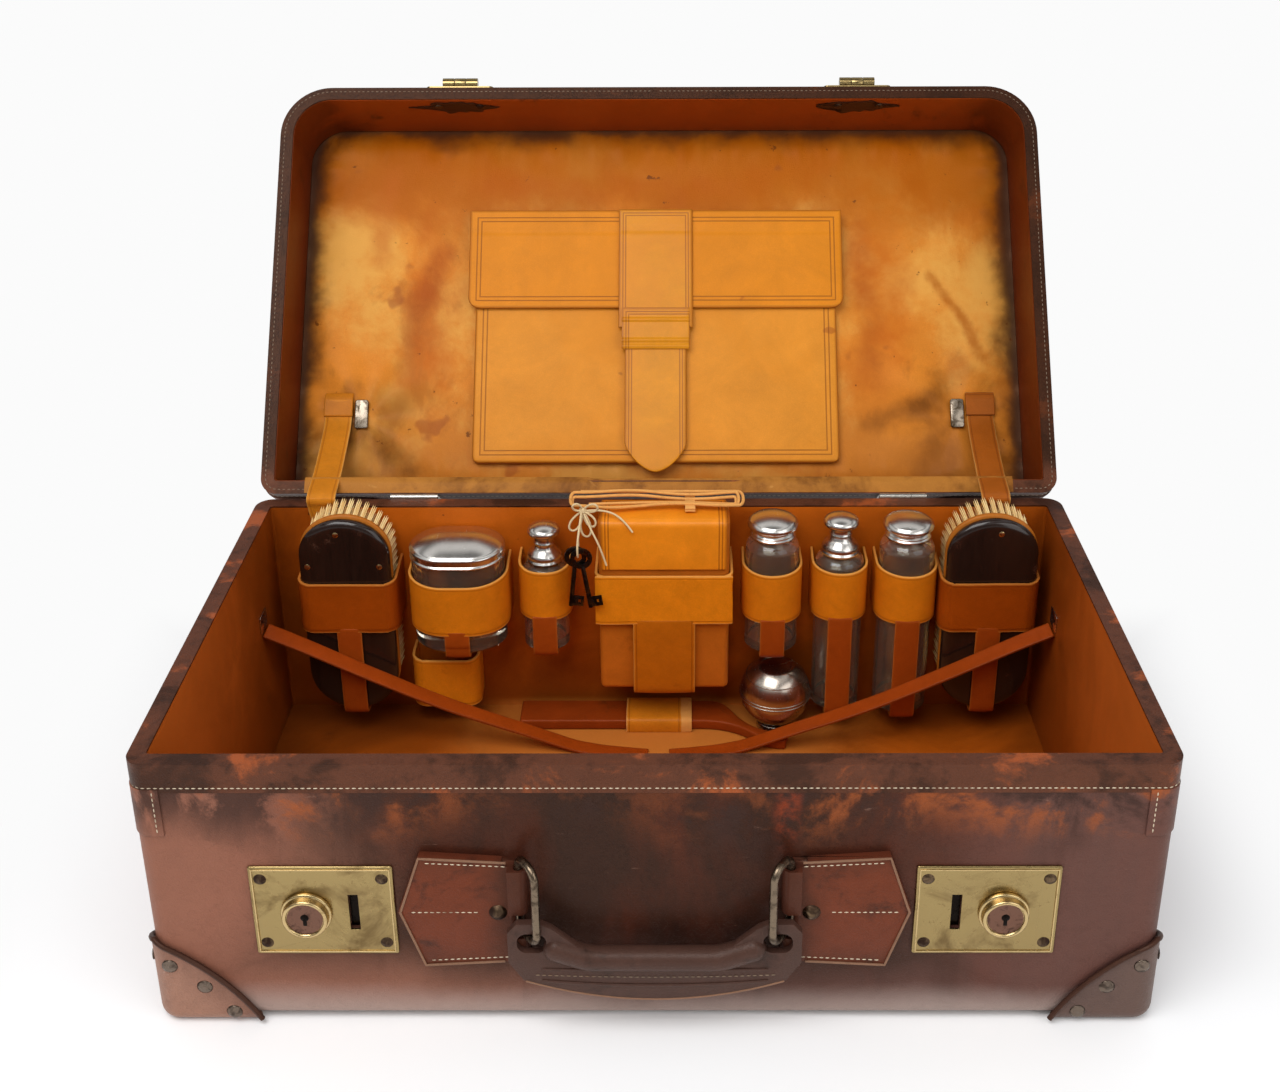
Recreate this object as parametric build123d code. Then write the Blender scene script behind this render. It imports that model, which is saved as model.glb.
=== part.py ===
from build123d import *
from math import asin, atan2, cos, degrees, pi, radians, sin, sqrt
import os

# Antique fitted dressing case, shown open. All sizes in mm.
# X runs left to right, Y front to back, Z up; origin on the table under the middle of the base.

# ---------------------------------------------------------------- case body
case_w = 560.0          # outside width
case_d = 305.0          # outside depth
rim_z = 176.0           # height of the base's rim
patch_foot = 4.0        # bottom thickness of the corner patches that the case stands on
wall_t = 8.0            # leather over board
floor_t = 6.0
lining_t = 1.5
corner_r = 10.0         # upright corners of the base
bottom_r = 6.0          # rounded bottom edge
band_t = 1.2            # stitched leather binding on both rims
base_band_h = 18.0
lid_band_h = 14.0
fit = 0.3               # general running clearance

# ---------------------------------------------------------------- lid
lid_h = 70.0            # depth of the lid
lid_top_t = 6.0
lid_front_r = 36.0      # soft front corners of the lid
lid_edge_r = 10.0       # rounded edge round the lid's top
rim_gap = 0.4           # between the closed rims
open_angle = 126.0
pad_edge_t = 2.0        # lid lining panel, at its border
pad_crown = 5.0         # and how far it stands up inside the border
pad_ramp = 16.0         # width of the sloping border

# ---------------------------------------------------------------- corner patches and rivets
patch_t = 2.6
patch_reach = 58.0      # along each edge from a bottom corner
lid_patch_reach = 95.0
patch_bow = 60.0        # how far outside the corner the patch's curved edge is centred
rivet_d = 9.0
rivet_h = 2.0
rivet_inset = 9.0

# ---------------------------------------------------------------- hinges
hinge_x = 172.0
hinge_w = 33.0
hinge_leaf_h = 24.0
hinge_leaf_t = 1.2
knuckle_d = 4.6
hinge_pin_d = 2.2
pin_fit = 0.15
slide_fit = 0.1         # under sliding pieces

# ---------------------------------------------------------------- locks
lock_x = 181.5          # middle of each plate from the middle of the case
lock_z = 80.0
lock_w = 79.0
lock_h = 60.0
lock_t = 1.6
nozzle_x = 191.0
nozzle_flange_d = 28.0
nozzle_flange_t = 2.4
nozzle_d = 21.5
nozzle_h = 10.0
nozzle_stem_w = 9.0
nozzle_stem_h = 8.0
nozzle_stem_depth = 1.8
lock_pocket_t = 2.2     # how far the slots go into the case wall
nozzle_travel = 6.0
lock_slot_x = 165.0
lock_slot_w = 5.4
lock_slot_h = 24.0
lock_rivet_d = 7.0
lock_rivet_in_x = 6.4
lock_rivet_in_z = 8.2

# ---------------------------------------------------------------- hasps
hasp_x = 149.0          # middle of the knuckle
hasp_knuckle_d = 8.0
hasp_w = 26.0
hasp_plate_w = 50.0
hasp_plate_h = 20.0
hasp_plate_t = 1.5
hasp_axis_up = 5.0      # above the lid's rim when the lid is shut
hasp_leaf_t = 2.0
hasp_foot_w = 38.0
staple_t = 2.6
staple_h = 18.0

# ---------------------------------------------------------------- handle
chape_tip_x = 140.0
chape_shoulder_x = 127.0
chape_fold_x = 73.5     # the bar in the fold
chape_h = 75.0
chape_fold_h = 67.0
chape_z = 82.0
chape_t = 5.0
chape_fold_r = 4.3
chape_stud_x = 85.5
chape_stud_d = 10.0
ring_wire_d = 4.6
ring_reach_x = 10.0     # from the bar in the fold to the outer bar
ring_reach_y = 14.0
ring_z0 = 72.0          # middle of the bottom bar
ring_h = 49.0
ring_bend_r = 7.0
ring_stand = 5.5        # bar's distance from the front face
grip_t = 4.5
grip_end_x = 80.0
grip_bridge = 6.5       # leather between the eye and the tab's top edge
grip_eye_w = 16.0
grip_eye_h = 13.0
grip_eye_x = 67.0
grip_roll_d = 14.0
grip_roll_z = 57.0
grip_drop = 29.5        # lowest point of the grip above the table

# ---------------------------------------------------------------- loops on the back wall
loop_t = 2.0
loop_z = 104.0
loop_h = 40.0
loop_fit = 0.4
sling_t = 2.0
sling_fit = 0.3

# ---------------------------------------------------------------- fitted pieces
brush_w = 63.0
brush_l = 160.0
brush_top = 194.0
brush_back_t = 14.0
brush_edge_r = 8.0
bristle_l = 20.0
bristle_t = 1.5
bristle_base_t = 1.5
brush_wall_gap = 3.2        # room for the lid stays behind the brushes

jar_w = 64.0
jar_depth = 48.0
jar_bottom = 86.0
jar_glass_h = 66.0
jar_lid_h = 21.0
jar_wall = 4.0
jar_lid_over = 1.0

short_d = 32.0
two_d = 37.0
three_d = 34.0
four_d = 38.0
short_bottom = 77.0
short_top = 176.0
two_bottom = 78.0
tall_bottom = 29.0
bottle_top = 183.0
glass_t = 2.6
glass_foot_t = 6.0

wallet_w = 90.0
wallet_t = 34.0
wallet_bottom = 48.0
wallet_top = 183.0
wallet_flap_t = 2.4
wallet_flap_h = 62.0

ball_right = 4.0        # right of the second bottle's middle
ball_d = 50.0
ball_foot_d = 26.0
ball_foot_h = 6.0

sleeve_left = 8.0       # left of the wallet's middle
sleeve_l = 192.0
sleeve_w = 26.0
sleeve_t = 8.0

spare_left = 14.0       # left of the jar's middle
spare_w = 44.0
spare_depth = 24.0
spare_z = 28.0
floor_loop_w = 47.0

# free spaces along the back wall, beyond the loops' own thickness, from the left wall to the right one
row_spaces = (22.6, 7.7, 6.2, 17.2, 6.7, 6.7, 5.2, 0.7, 8.6)

# ---------------------------------------------------------------- lid folder
folder_x = -2.5
folder_w = 264.0
folder_y0 = 30.0        # from the hinge line, along the lid
folder_y1 = 226.0
folder_t = 6.0
flap_w = 284.0
flap_h = 78.0
flap_t = 3.0
strap_w = 52.0
strap_t = 2.4
keeper_h = 32.0
flap_gap = 0.4

# ---------------------------------------------------------------- straps
stay_w = 20.0
stay_t = 2.0
stay_x = 236.0
stay_lid_y = 79.0       # from the hinge line to the stay's upper end
stay_drop = 24.0        # length sewn to the base's back wall
packing_w = 12.0
packing_t = 2.0
packing_front = 11.3        # anchors in front of the brushes
packing_lead = 5.0          # landing point in front of the anchors
packing_step = 4.0          # and each later point in front of the one before
packing_land_x = 62.0
packing_rest_x = 36.0
packing_end_x = 8.0
packing_anchor_z = 106.0

# ---------------------------------------------------------------- lace, string and keys
lace_d = 2.2
lace_pitch = 2.7
lace_turns = 3
lace_run = 105.0
lace_left = 5.75        # left of the wallet's middle
lace_tie_t = 1.6
lace_tie_right = 18.0   # right of the wallet's middle
string_d = 1.4
key_l = 46.0
key_bow_d = 15.0
key_t = 2.2
key_shank_d = 3.2
key_bow_bar = 3.2
key_sink = 1.6          # from the middle of the string's loop to the middle of the bow's bar
string_loop_r = 5.2
string_bend_r = 7.0
string_knot_d = 5.0
knot_left = 55.0        # left of the wallet's middle
key_left = 58.0
key_front = 8.5         # in front of the wallet
key_drop = 17.0         # below the wallet's top

# ---------------------------------------------------------------- worked out from the above
front_y = -case_d / 2
back_y = case_d / 2
shell_z0 = patch_foot
floor_z = shell_z0 + floor_t + lining_t
in_x = case_w / 2 - wall_t - lining_t
wall_y = back_y - wall_t - lining_t
lid_z0 = rim_z + rim_gap
lid_z1 = lid_z0 + lid_h
hinge_y = back_y + band_t + knuckle_d / 2 + 0.2
hinge_z = rim_z + rim_gap / 2
lock_face_y = front_y - lock_t
hasp_y = front_y - band_t - hasp_plate_t - hasp_knuckle_d / 2 + 0.3
hasp_z = lid_z0 + hasp_axis_up
bar_y = front_y - ring_stand
grip_y = bar_y - ring_reach_y / 2
bridge_r = sqrt(grip_t ** 2 + grip_bridge ** 2) / 2
bridge_z = ring_z0 + ring_wire_d / 2 + 0.5 + bridge_r
eye_top = bridge_z - grip_bridge / 2


def row_middles():
    """Middles of the fitted pieces along the back wall; spare width is shared out between them."""
    widths = (brush_w, jar_w, short_d, wallet_w, two_d, three_d, four_d, brush_w)
    skin = loop_t + loop_fit
    spare = 2 * in_x - sum(widths) - 2 * len(widths) * skin
    x = -in_x
    middles = []
    for width, space in zip(widths, row_spaces):
        x += space * spare / sum(row_spaces) + skin
        middles.append(round(x + width / 2, 6))
        x += width + skin
    return middles


brush_left_x, jar_x, short_x, wallet_x, two_x, three_x, four_x, brush_right_x = row_middles()
ball_x = two_x + ball_right
sleeve_x = wallet_x - sleeve_left
spare_x = jar_x - spare_left
lace_x = wallet_x - lace_left
lace_tie_x = wallet_x + lace_tie_right
brush_depth = brush_back_t + bristle_base_t + bristle_l + brush_wall_gap
packing_anchor_y = wall_y - brush_depth - packing_front
pad_face = lid_z1 - lid_top_t - pad_edge_t - pad_crown


# ---------------------------------------------------------------- helpers
def block(x0, x1, y0, y1, z0, z1):
    return Pos((x0 + x1) / 2, (y0 + y1) / 2, (z0 + z1) / 2) * Box(x1 - x0, y1 - y0, z1 - z0)


def plan(w, d, r_back, r_front):
    """Case outline seen from above, with its own front and back corner radii."""
    sk = Rectangle(w, d)
    corners = sk.vertices().sort_by(Axis.Y)
    sk = fillet(corners[:2], r_front)
    return fillet(sk.vertices().sort_by(Axis.Y)[-2:], r_back)


def prism(sketch, z0, z1):
    return extrude(Plane.XY.offset(z0) * sketch, z1 - z0)


def front_plate(outline, y, t):
    """Flat piece of thickness t standing out to the front from depth y; outline lies in X and Z."""
    return extrude(make_face(Plane.XZ.offset(-y) * outline), t, dir=(0, -1, 0))


def mirror_x(shape):
    return mirror(shape, Plane.YZ)


def opened(shape):
    """Turn a piece of the lid from shut to its open rest position."""
    turn = Pos(0, hinge_y, hinge_z) * Rot(-open_angle, 0, 0) * Pos(0, -hinge_y, -hinge_z)
    return turn * shape


def dome(d, h):
    """Low rivet head standing on Z = 0."""
    r = (d * d / 4 + h * h) / (2 * h)
    ball = Pos(0, 0, h - r) * Sphere(r)
    return ball & Pos(0, 0, h / 2) * Box(d + 1, d + 1, h)


def strap(stations, width, thick):
    """Leather strap through stations of (middle, across, along)."""
    rows = [Plane(p, x_dir=a, z_dir=n) * Rectangle(width, thick) for p, a, n in stations]
    return loft(rows, ruled=True)


def out(name, shape):
    if isinstance(shape, (list, tuple)):
        shape = Compound(children=[s for part in shape for s in part.solids()])
    shape.label = name
    export_step(shape, "parts/" + name + ".step")


# ---------------------------------------------------------------- base
def lock_pocket(side):
    slot = block(-lock_slot_w / 2, lock_slot_w / 2, 0, lock_pocket_t, -lock_slot_h / 2, lock_slot_h / 2)
    stem = stem_slot(lock_pocket_t)
    pockets = Pos(lock_slot_x, front_y, lock_z - 1) * slot + Pos(nozzle_x, front_y, lock_z - 1) * stem
    return pockets if side > 0 else mirror_x(pockets)


def stem_slot(depth):
    """Window for a nozzle's stem, on the right lock, long enough for its travel."""
    x0 = -nozzle_stem_w / 2 - fit
    x1 = nozzle_stem_w / 2 + nozzle_travel + fit
    return block(x0, x1, 0, depth, -nozzle_stem_h / 2 - fit, nozzle_stem_h / 2 + fit)


def base_body():
    body = prism(plan(case_w, case_d, corner_r, corner_r), shell_z0, rim_z - band_t)
    return fillet(body.faces().sort_by(Axis.Z)[0].edges(), bottom_r)


def base_cavity(inset):
    r = max(corner_r - inset, 2.0)
    return plan(case_w - 2 * inset, case_d - 2 * inset, r, r)


def base_shell():
    shell = base_body() - prism(base_cavity(wall_t), shell_z0 + floor_t, rim_z + 1)
    return shell - lock_pocket(1) - lock_pocket(-1)


def base_rim_band():
    outline = plan(case_w + 2 * band_t, case_d + 2 * band_t, corner_r + band_t, corner_r + band_t)
    band = prism(outline, rim_z - base_band_h, rim_z)
    band -= prism(plan(case_w, case_d, corner_r, corner_r), rim_z - base_band_h - 1, rim_z - band_t)
    return band - prism(base_cavity(wall_t + lining_t), rim_z - base_band_h, rim_z + 1)


def base_lining():
    skin = prism(base_cavity(wall_t), shell_z0 + floor_t, rim_z - band_t)
    return skin - prism(base_cavity(wall_t + lining_t), floor_z, rim_z)


# ---------------------------------------------------------------- corner patches
def patch_zone(reach):
    """Ball whose surface cuts the patch's curved edge on all three faces of a corner at the origin."""
    r2 = (reach + patch_bow) ** 2 + 2 * patch_bow ** 2
    return Sphere(sqrt(r2))


def base_corner_patches():
    grown = plan(case_w + 2 * patch_t, case_d + 2 * patch_t, corner_r + patch_t, corner_r + patch_t)
    cover = prism(grown, 0, patch_reach + patch_foot)
    cover = fillet(cover.faces().sort_by(Axis.Z)[0].edges(), bottom_r + patch_t) - base_body()
    pieces = []
    for sx in (-1, 1):
        for sy in (-1, 1):
            at = (sx * (case_w / 2 + patch_bow), sy * (case_d / 2 + patch_bow), -patch_bow)
            pieces.append(cover & Pos(*at) * patch_zone(patch_reach))
    return pieces


def lid_body():
    body = prism(plan(case_w, case_d, corner_r, lid_front_r), lid_z0 + band_t, lid_z1)
    return fillet(body.faces().sort_by(Axis.Z)[-1].edges(), lid_edge_r)


def lid_corner_patches():
    grown = plan(case_w + 2 * patch_t, case_d + 2 * patch_t, corner_r + patch_t, lid_front_r + patch_t)
    cover = prism(grown, lid_z0 + lid_band_h + 1, lid_z1 + patch_t)
    cover = fillet(cover.faces().sort_by(Axis.Z)[-1].edges(), lid_edge_r + patch_t) - lid_body()
    pieces = []
    for sx in (-1, 1):
        for sy in (-1, 1):
            at = (sx * (case_w / 2 + patch_bow), sy * (case_d / 2 + patch_bow), lid_z1 + patch_bow)
            pieces.append(opened(cover & Pos(*at) * patch_zone(lid_patch_reach)))
    return pieces


def patch_rivet_spots(reach, shares):
    """Distances (along, up) from the corner of rivets set inside the patch's curved edge."""
    r = sqrt((reach + patch_bow) ** 2 + patch_bow ** 2) - rivet_inset
    a0 = asin(patch_bow / r)
    a1 = pi / 2 - a0
    return [(r * cos(a0 + (a1 - a0) * s) - patch_bow, r * sin(a0 + (a1 - a0) * s) - patch_bow) for s in shares]


def at_corners(spot):
    """A rivet head set by spot(sx, sy) at each of the four corners."""
    return [spot(sx, sy) for sx in (-1, 1) for sy in (-1, 1)]


def corner_rivets(reach, shares, z0, up):
    """Rivets on the upright faces of all four corners, patch edges measured from height z0."""
    heads = []
    for along, rise in patch_rivet_spots(reach, shares):
        z = z0 + up * rise
        heads += at_corners(lambda sx, sy: Pos(sx * (case_w / 2 - along), sy * (case_d / 2 + patch_t), z)
                            * Rot(-sy * 90, 0, 0) * dome(rivet_d, rivet_h))
        heads += at_corners(lambda sx, sy: Pos(sx * (case_w / 2 + patch_t), sy * (case_d / 2 - along), z)
                            * Rot(0, sx * 90, 0) * dome(rivet_d, rivet_h))
    return heads


def lid_rivets():
    """Two rivets on each upright face of the lid's corners and three on its top."""
    heads = corner_rivets(lid_patch_reach, (0.2, 0.46), lid_z1, -1)
    for along, across in patch_rivet_spots(lid_patch_reach, (0.25, 0.5, 0.75)):
        heads += at_corners(lambda sx, sy: Pos(sx * (case_w / 2 - along), sy * (case_d / 2 - across),
                                               lid_z1 + patch_t) * dome(rivet_d, rivet_h))
    return heads


# ---------------------------------------------------------------- hinges
def hinge_leaf(up):
    """One leaf with its knuckles, on the right side; up = 1 for the lid, -1 for the base."""
    z0 = hinge_z
    leaf = block(-hinge_w / 2, hinge_w / 2, back_y + band_t, back_y + band_t + hinge_leaf_t,
                 min(z0, z0 + up * hinge_leaf_h), max(z0, z0 + up * hinge_leaf_h))
    barrel = Pos(0, hinge_y, hinge_z) * Rot(0, 90, 0) * Cylinder(knuckle_d / 2, hinge_w)
    third = hinge_w / 6
    middle = block(-third, third, hinge_y - 9, hinge_y + 9, hinge_z - 9, hinge_z + 9)
    clear = Pos(0, hinge_y, hinge_z) * Rot(0, 90, 0) * Cylinder(knuckle_d / 2 + fit, hinge_w + 2)
    wide = block(-third - fit, third + fit, hinge_y - 9, hinge_y + 9, hinge_z - 9, hinge_z + 9)
    pin = Pos(0, hinge_y, hinge_z) * Rot(0, 90, 0) * Cylinder(hinge_pin_d / 2, hinge_w)
    bore = Pos(0, hinge_y, hinge_z) * Rot(0, 90, 0) * Cylinder(hinge_pin_d / 2 + pin_fit, hinge_w + 2)
    if up < 0:
        piece = (leaf - (clear - wide)) - (clear & wide) + (barrel & middle)
        return Pos(hinge_x, 0, 0) * (piece + pin)
    piece = leaf - clear + (barrel - wide)
    return Pos(hinge_x, 0, 0) * (piece - bore)


# ---------------------------------------------------------------- locks
def lock_plate():
    plate = Pos(lock_x, front_y - lock_t / 2, lock_z) * Box(lock_w, lock_t, lock_h)
    plate = fillet(plate.edges().filter_by(Axis.Y), 1.5)
    plate = chamfer(plate.faces().sort_by(Axis.Y)[0].edges(), 0.6)
    slot = block(-lock_slot_w / 2, lock_slot_w / 2, -lock_t - 1, 1, -lock_slot_h / 2, lock_slot_h / 2)
    window = Pos(0, -lock_t - 1, 0) * stem_slot(lock_t + 2)
    return plate - Pos(lock_slot_x, front_y, lock_z - 1) * slot - Pos(nozzle_x, front_y, lock_z - 1) * window


def lock_rivets():
    heads = []
    for dx in (-1, 1):
        for dz in (-1, 1):
            x = lock_x + dx * (lock_w / 2 - lock_rivet_in_x)
            z = lock_z + dz * (lock_h / 2 - lock_rivet_in_z)
            heads.append(Pos(x, lock_face_y, z) * Rot(90, 0, 0) * dome(lock_rivet_d, 1.4))
    return heads


def lock_nozzle():
    """Sliding nozzle: flange, barrel with a raised lip, keyhole, and the stem behind the plate."""
    profile = Polyline((0, 0), (nozzle_flange_d / 2, 0), (nozzle_flange_d / 2, nozzle_flange_t - 0.6),
                       (nozzle_flange_d / 2 - 0.8, nozzle_flange_t), (nozzle_d / 2 + 0.6, nozzle_flange_t),
                       (nozzle_d / 2, nozzle_flange_t + 0.8), (nozzle_d / 2, nozzle_h - 0.7),
                       (nozzle_d / 2 - 0.7, nozzle_h), (nozzle_d / 2 - 2.2, nozzle_h),
                       (nozzle_d / 2 - 2.6, nozzle_h - 1.0), (0, nozzle_h - 1.0), (0, 0))
    body = revolve(Plane.XZ * make_face(profile), Axis.Z)
    keyhole = Pos(0, 1.6, nozzle_h) * Cylinder(2.3, 12) + Pos(0, -2.0, nozzle_h) * Box(2.2, 7.0, 12)
    body = Rot(90, 0, 0) * (body - keyhole)
    stem = block(-nozzle_stem_w / 2, nozzle_stem_w / 2, -0.5, lock_t + nozzle_stem_depth,
                 -nozzle_stem_h / 2, nozzle_stem_h / 2)
    return Pos(nozzle_x, lock_face_y - slide_fit, lock_z - 1) * (body + stem)


# ---------------------------------------------------------------- hasps, drawn with the lid shut
def hasp_barrel(x0, x1, d):
    return Pos((x0 + x1) / 2, hasp_y, hasp_z) * Rot(0, 90, 0) * Cylinder(d / 2, x1 - x0)


def hasp_plate():
    y = front_y - band_t
    plate = block(hasp_x - hasp_plate_w / 2, hasp_x + hasp_plate_w / 2, y - hasp_plate_t, y,
                  lid_z0 + 1, lid_z0 + 1 + hasp_plate_h)
    plate = fillet(plate.edges().filter_by(Axis.Y), 3)
    third = hasp_w / 6
    knuckles = hasp_barrel(hasp_x - hasp_w / 2, hasp_x - third - fit, hasp_knuckle_d)
    knuckles += hasp_barrel(hasp_x + third + fit, hasp_x + hasp_w / 2, hasp_knuckle_d)
    pin = hasp_barrel(hasp_x - hasp_w / 2, hasp_x + hasp_w / 2, 3.0)
    gap = hasp_barrel(hasp_x - third - fit, hasp_x + third + fit, hasp_knuckle_d + 2 * fit)
    return plate + knuckles - gap + pin


def hasp():
    """Leaf folded back up over the lid's front; its foot carries the staple for the lock's slot."""
    third = hasp_w / 6
    reach = hasp_z - (lock_z - 1) + lock_slot_h / 2 + 2
    top = hasp_z + reach
    x_in = hasp_x - hasp_w / 2
    x_slot = lock_slot_x
    z_foot = hasp_z + (hasp_z - (lock_z - 1)) - lock_slot_h / 2 - 8
    outline = Polyline((hasp_x - third, hasp_z), (hasp_x - third, hasp_z + 7), (x_in, hasp_z + 7),
                       (x_in, top), (x_slot + 8, top), (x_slot + 8, z_foot),
                       (hasp_x + hasp_w / 2, z_foot - 14), (hasp_x + hasp_w / 2, hasp_z + 7),
                       (hasp_x + third, hasp_z + 7), (hasp_x + third, hasp_z), (hasp_x - third, hasp_z))
    leaf = front_plate(outline, hasp_y + hasp_leaf_t / 2, hasp_leaf_t)
    leaf = leaf + hasp_barrel(hasp_x - third, hasp_x + third, hasp_knuckle_d)
    leaf -= hasp_barrel(hasp_x - hasp_w, hasp_x + hasp_w, 3.0 + 2 * pin_fit)
    z_mid = hasp_z + (hasp_z - (lock_z - 1))
    leaf_face = hasp_y - hasp_leaf_t / 2
    depth = (hasp_y + hasp_leaf_t / 2) - front_y
    staple = block(x_slot - staple_t / 2, x_slot + staple_t / 2, leaf_face + depth - lock_pocket_t + fit, leaf_face + 0.5,
                   z_mid - staple_h / 2, z_mid + staple_h / 2)
    return leaf + staple


# ---------------------------------------------------------------- handle
def ring_path(grow=0.0):
    length = sqrt(ring_reach_x ** 2 + ring_reach_y ** 2)
    return RectangleRounded(length, ring_h, ring_bend_r).wire()


def handle_ring():
    """Rounded wire loop on the right side, standing out from the fold's bar."""
    d = Vector(-ring_reach_x, -ring_reach_y, 0).normalized()
    mid = Vector(chape_fold_x, bar_y, ring_z0 + ring_h / 2) + Vector(-ring_reach_x, -ring_reach_y, 0) * 0.5
    face = Plane(mid, x_dir=d, z_dir=d.cross(Vector(0, 0, 1)))
    path = face * ring_path()
    edge = path.edges().filter_by(Axis.Z)[0]
    section = Plane(edge @ 0.5, z_dir=edge % 0.5) * Circle(ring_wire_d / 2)
    return sweep(section, path=path)


def chape():
    """Pointed leather mount, folded round the ring's inner bar."""
    outline = Polyline((chape_tip_x, chape_z), (chape_shoulder_x, chape_z + chape_h / 2),
                       (chape_fold_x, chape_z + chape_fold_h / 2), (chape_fold_x, chape_z - chape_fold_h / 2),
                       (chape_shoulder_x, chape_z - chape_h / 2), (chape_tip_x, chape_z))
    plate = front_plate(outline, front_y, chape_t)
    fold_z0 = chape_z - chape_fold_h / 2
    fold_z1 = ring_z0 + ring_h - ring_bend_r - 1
    fold = Pos(chape_fold_x, bar_y, (fold_z0 + fold_z1) / 2) * Cylinder(chape_fold_r, fold_z1 - fold_z0)
    seat = block(chape_fold_x, chape_fold_x + 6, bar_y - chape_fold_r, front_y, fold_z0, fold_z1)
    ease = block(chape_fold_x - chape_fold_r, chape_fold_x + 6, bar_y, front_y, fold_z0, fold_z1)
    body = plate + fold + (seat & Pos(chape_fold_x + 1, bar_y, chape_z) * Cylinder(6.4, chape_h)) + ease
    notch_z0 = ring_z0 - ring_wire_d / 2 - 2
    notch_z1 = bridge_z + bridge_r + 1.2
    reach = chape_fold_r + ring_wire_d
    notch = block(chape_fold_x - reach, chape_fold_x, bar_y - reach, front_y + 1, notch_z0, notch_z1)
    notch += block(chape_fold_x - reach, chape_fold_x + reach, bar_y - reach, front_y - chape_t - 0.2,
                   notch_z0, notch_z1)
    top = block(chape_fold_x - reach, chape_fold_x + reach, bar_y - reach, front_y - 0.01, fold_z1, rim_z)
    bore = Pos(chape_fold_x, bar_y, rim_z / 2) * Cylinder(ring_wire_d / 2 + fit, rim_z)
    keep_out = block(0, rim_z, front_y, back_y, 0, rim_z)
    return body - notch - top - bore - keep_out


def chape_stud():
    return Pos(chape_stud_x, front_y - chape_t, chape_z) * Rot(90, 0, 0) * dome(chape_stud_d, 3.0)


def handle_grip():
    """Flat leather core with an eye in each end tab, and the padded roll for the hand."""
    top = bridge_z + grip_bridge / 2
    half = [(0, grip_roll_z + 4), (36, grip_roll_z + 4), (56, top - 3), (62, top), (grip_end_x - 5, top),
            (grip_end_x, top - 6), (grip_end_x, 56), (grip_end_x - 8, 43.5)]
    left = [(-x, z) for x, z in reversed(half[1:])]
    line = Polyline(*(left + half))
    belly = ThreePointArc((grip_end_x - 8, 43.5), (0, grip_drop), (8 - grip_end_x, 43.5))
    core = front_plate(line + belly, grip_y + grip_t / 2, grip_t)
    eye_z = eye_top - grip_eye_h / 2
    for sx in (-1, 1):
        hole = Pos(sx * grip_eye_x, grip_y, eye_z) * Rot(90, 0, 0) * extrude(
            RectangleRounded(grip_eye_w, grip_eye_h, 5.5), grip_t + 2, both=True)
        core -= hole
    r = grip_roll_d / 2
    pts = [(-54, grip_y, grip_roll_z + 7), (-36, grip_y, grip_roll_z), (36, grip_y, grip_roll_z),
           (54, grip_y, grip_roll_z + 7)]
    path = FilletPolyline(*pts, radius=30)
    roll = sweep(Plane(path @ 0, z_dir=path % 0) * Circle(r), path=path)
    ends = Pos(*pts[0]) * Sphere(r) + Pos(*pts[-1]) * Sphere(r)
    return core + (roll + ends)


# ---------------------------------------------------------------- loops and slings
def loop_band(x, half_w, front, z, h, round_front):
    """Band from the wall round the front of a piece and back, open above and below."""
    def outline(grow):
        w = half_w + grow
        f = front + grow
        r = min(round_front + grow, w - 0.01)
        deep = f + wall_t
        sk = Pos(0, deep / 2) * Rectangle(2 * w, deep)
        sk = fillet(sk.vertices().sort_by(Axis.Y)[:2], r)
        return Pos(x, wall_y - f) * sk
    band = prism(outline(loop_t), z, z + h) - prism(outline(0), z - 1, z + h + 1)
    reach = half_w + 2 * loop_t
    return band & block(x - reach, x + reach, wall_y - front - 2 * loop_t, wall_y, z - 2, z + h + 2)


def sling(x, width, front, z_low, z_high):
    """Strip from the loop's lower edge down and under the piece to the back wall."""
    y0 = wall_y - front - loop_t
    drop = block(x - width / 2, x + width / 2, y0, y0 + loop_t, z_low - sling_t, z_high + 3)
    under = block(x - width / 2, x + width / 2, y0, wall_y, z_low - sling_t, z_low)
    piece = drop + under
    corner = piece.edges().filter_by(Axis.X).sort_by(lambda e: e.center().Z + e.center().Y)[0]
    return fillet(corner, sling_t * 0.9)


def held(x, w, d, bottom, z=loop_z, h=loop_h, width=17.0, round_front=None):
    """Loop and sling for a piece of width w and depth d standing at the wall."""
    front = d + 2 * loop_fit
    r = w / 2 + loop_fit if round_front is None else round_front
    band = loop_band(x, w / 2 + loop_fit, front, z, h, r)
    return band + sling(x, width, front, bottom - sling_fit, z)


# ---------------------------------------------------------------- brushes
def brush_outline(inset):
    return RectangleRounded(brush_w - 2 * inset, brush_l - 2 * inset, brush_w / 2 - inset - 0.1)


def brush_back(x):
    """Ebony back: flat board with a domed front."""
    y = wall_y - loop_fit - brush_wall_gap - bristle_l - bristle_base_t
    frame = Plane((x, y, brush_top - brush_l / 2), x_dir=(1, 0, 0), z_dir=(0, -1, 0))
    board = extrude(frame * brush_outline(0), brush_back_t)
    rim = board.faces().sort_by(Axis.Y)[0].edges()
    return fillet(rim, brush_edge_r)


def brush_bristles(x):
    """Upright rows of strands on a slice of their backing."""
    y = wall_y - loop_fit - brush_wall_gap - bristle_l - bristle_base_t
    frame = Plane((x, y, brush_top - brush_l / 2), x_dir=(-1, 0, 0), z_dir=(0, 1, 0))
    slab = extrude(frame * brush_outline(3), bristle_base_t)
    spots = []
    step_x = 5.4
    step_z = 6.6
    half_w = brush_w / 2 - 5
    for row in range(-11, 12):
        v = row * step_z
        past = max(abs(v) - (brush_l / 2 - brush_w / 2), 0)
        room = sqrt(max(half_w ** 2 - past ** 2, 0))
        n = int(room / step_x)
        spots += [(i * step_x, v) for i in range(-n, n + 1) if past < half_w]
    tufts = Sketch() + [Pos(u, v) * Rectangle(bristle_t, bristle_t) for u, v in spots]
    strands = extrude(frame.offset(bristle_base_t - 0.2) * tufts, bristle_l + 0.2)
    return slab + strands


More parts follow.
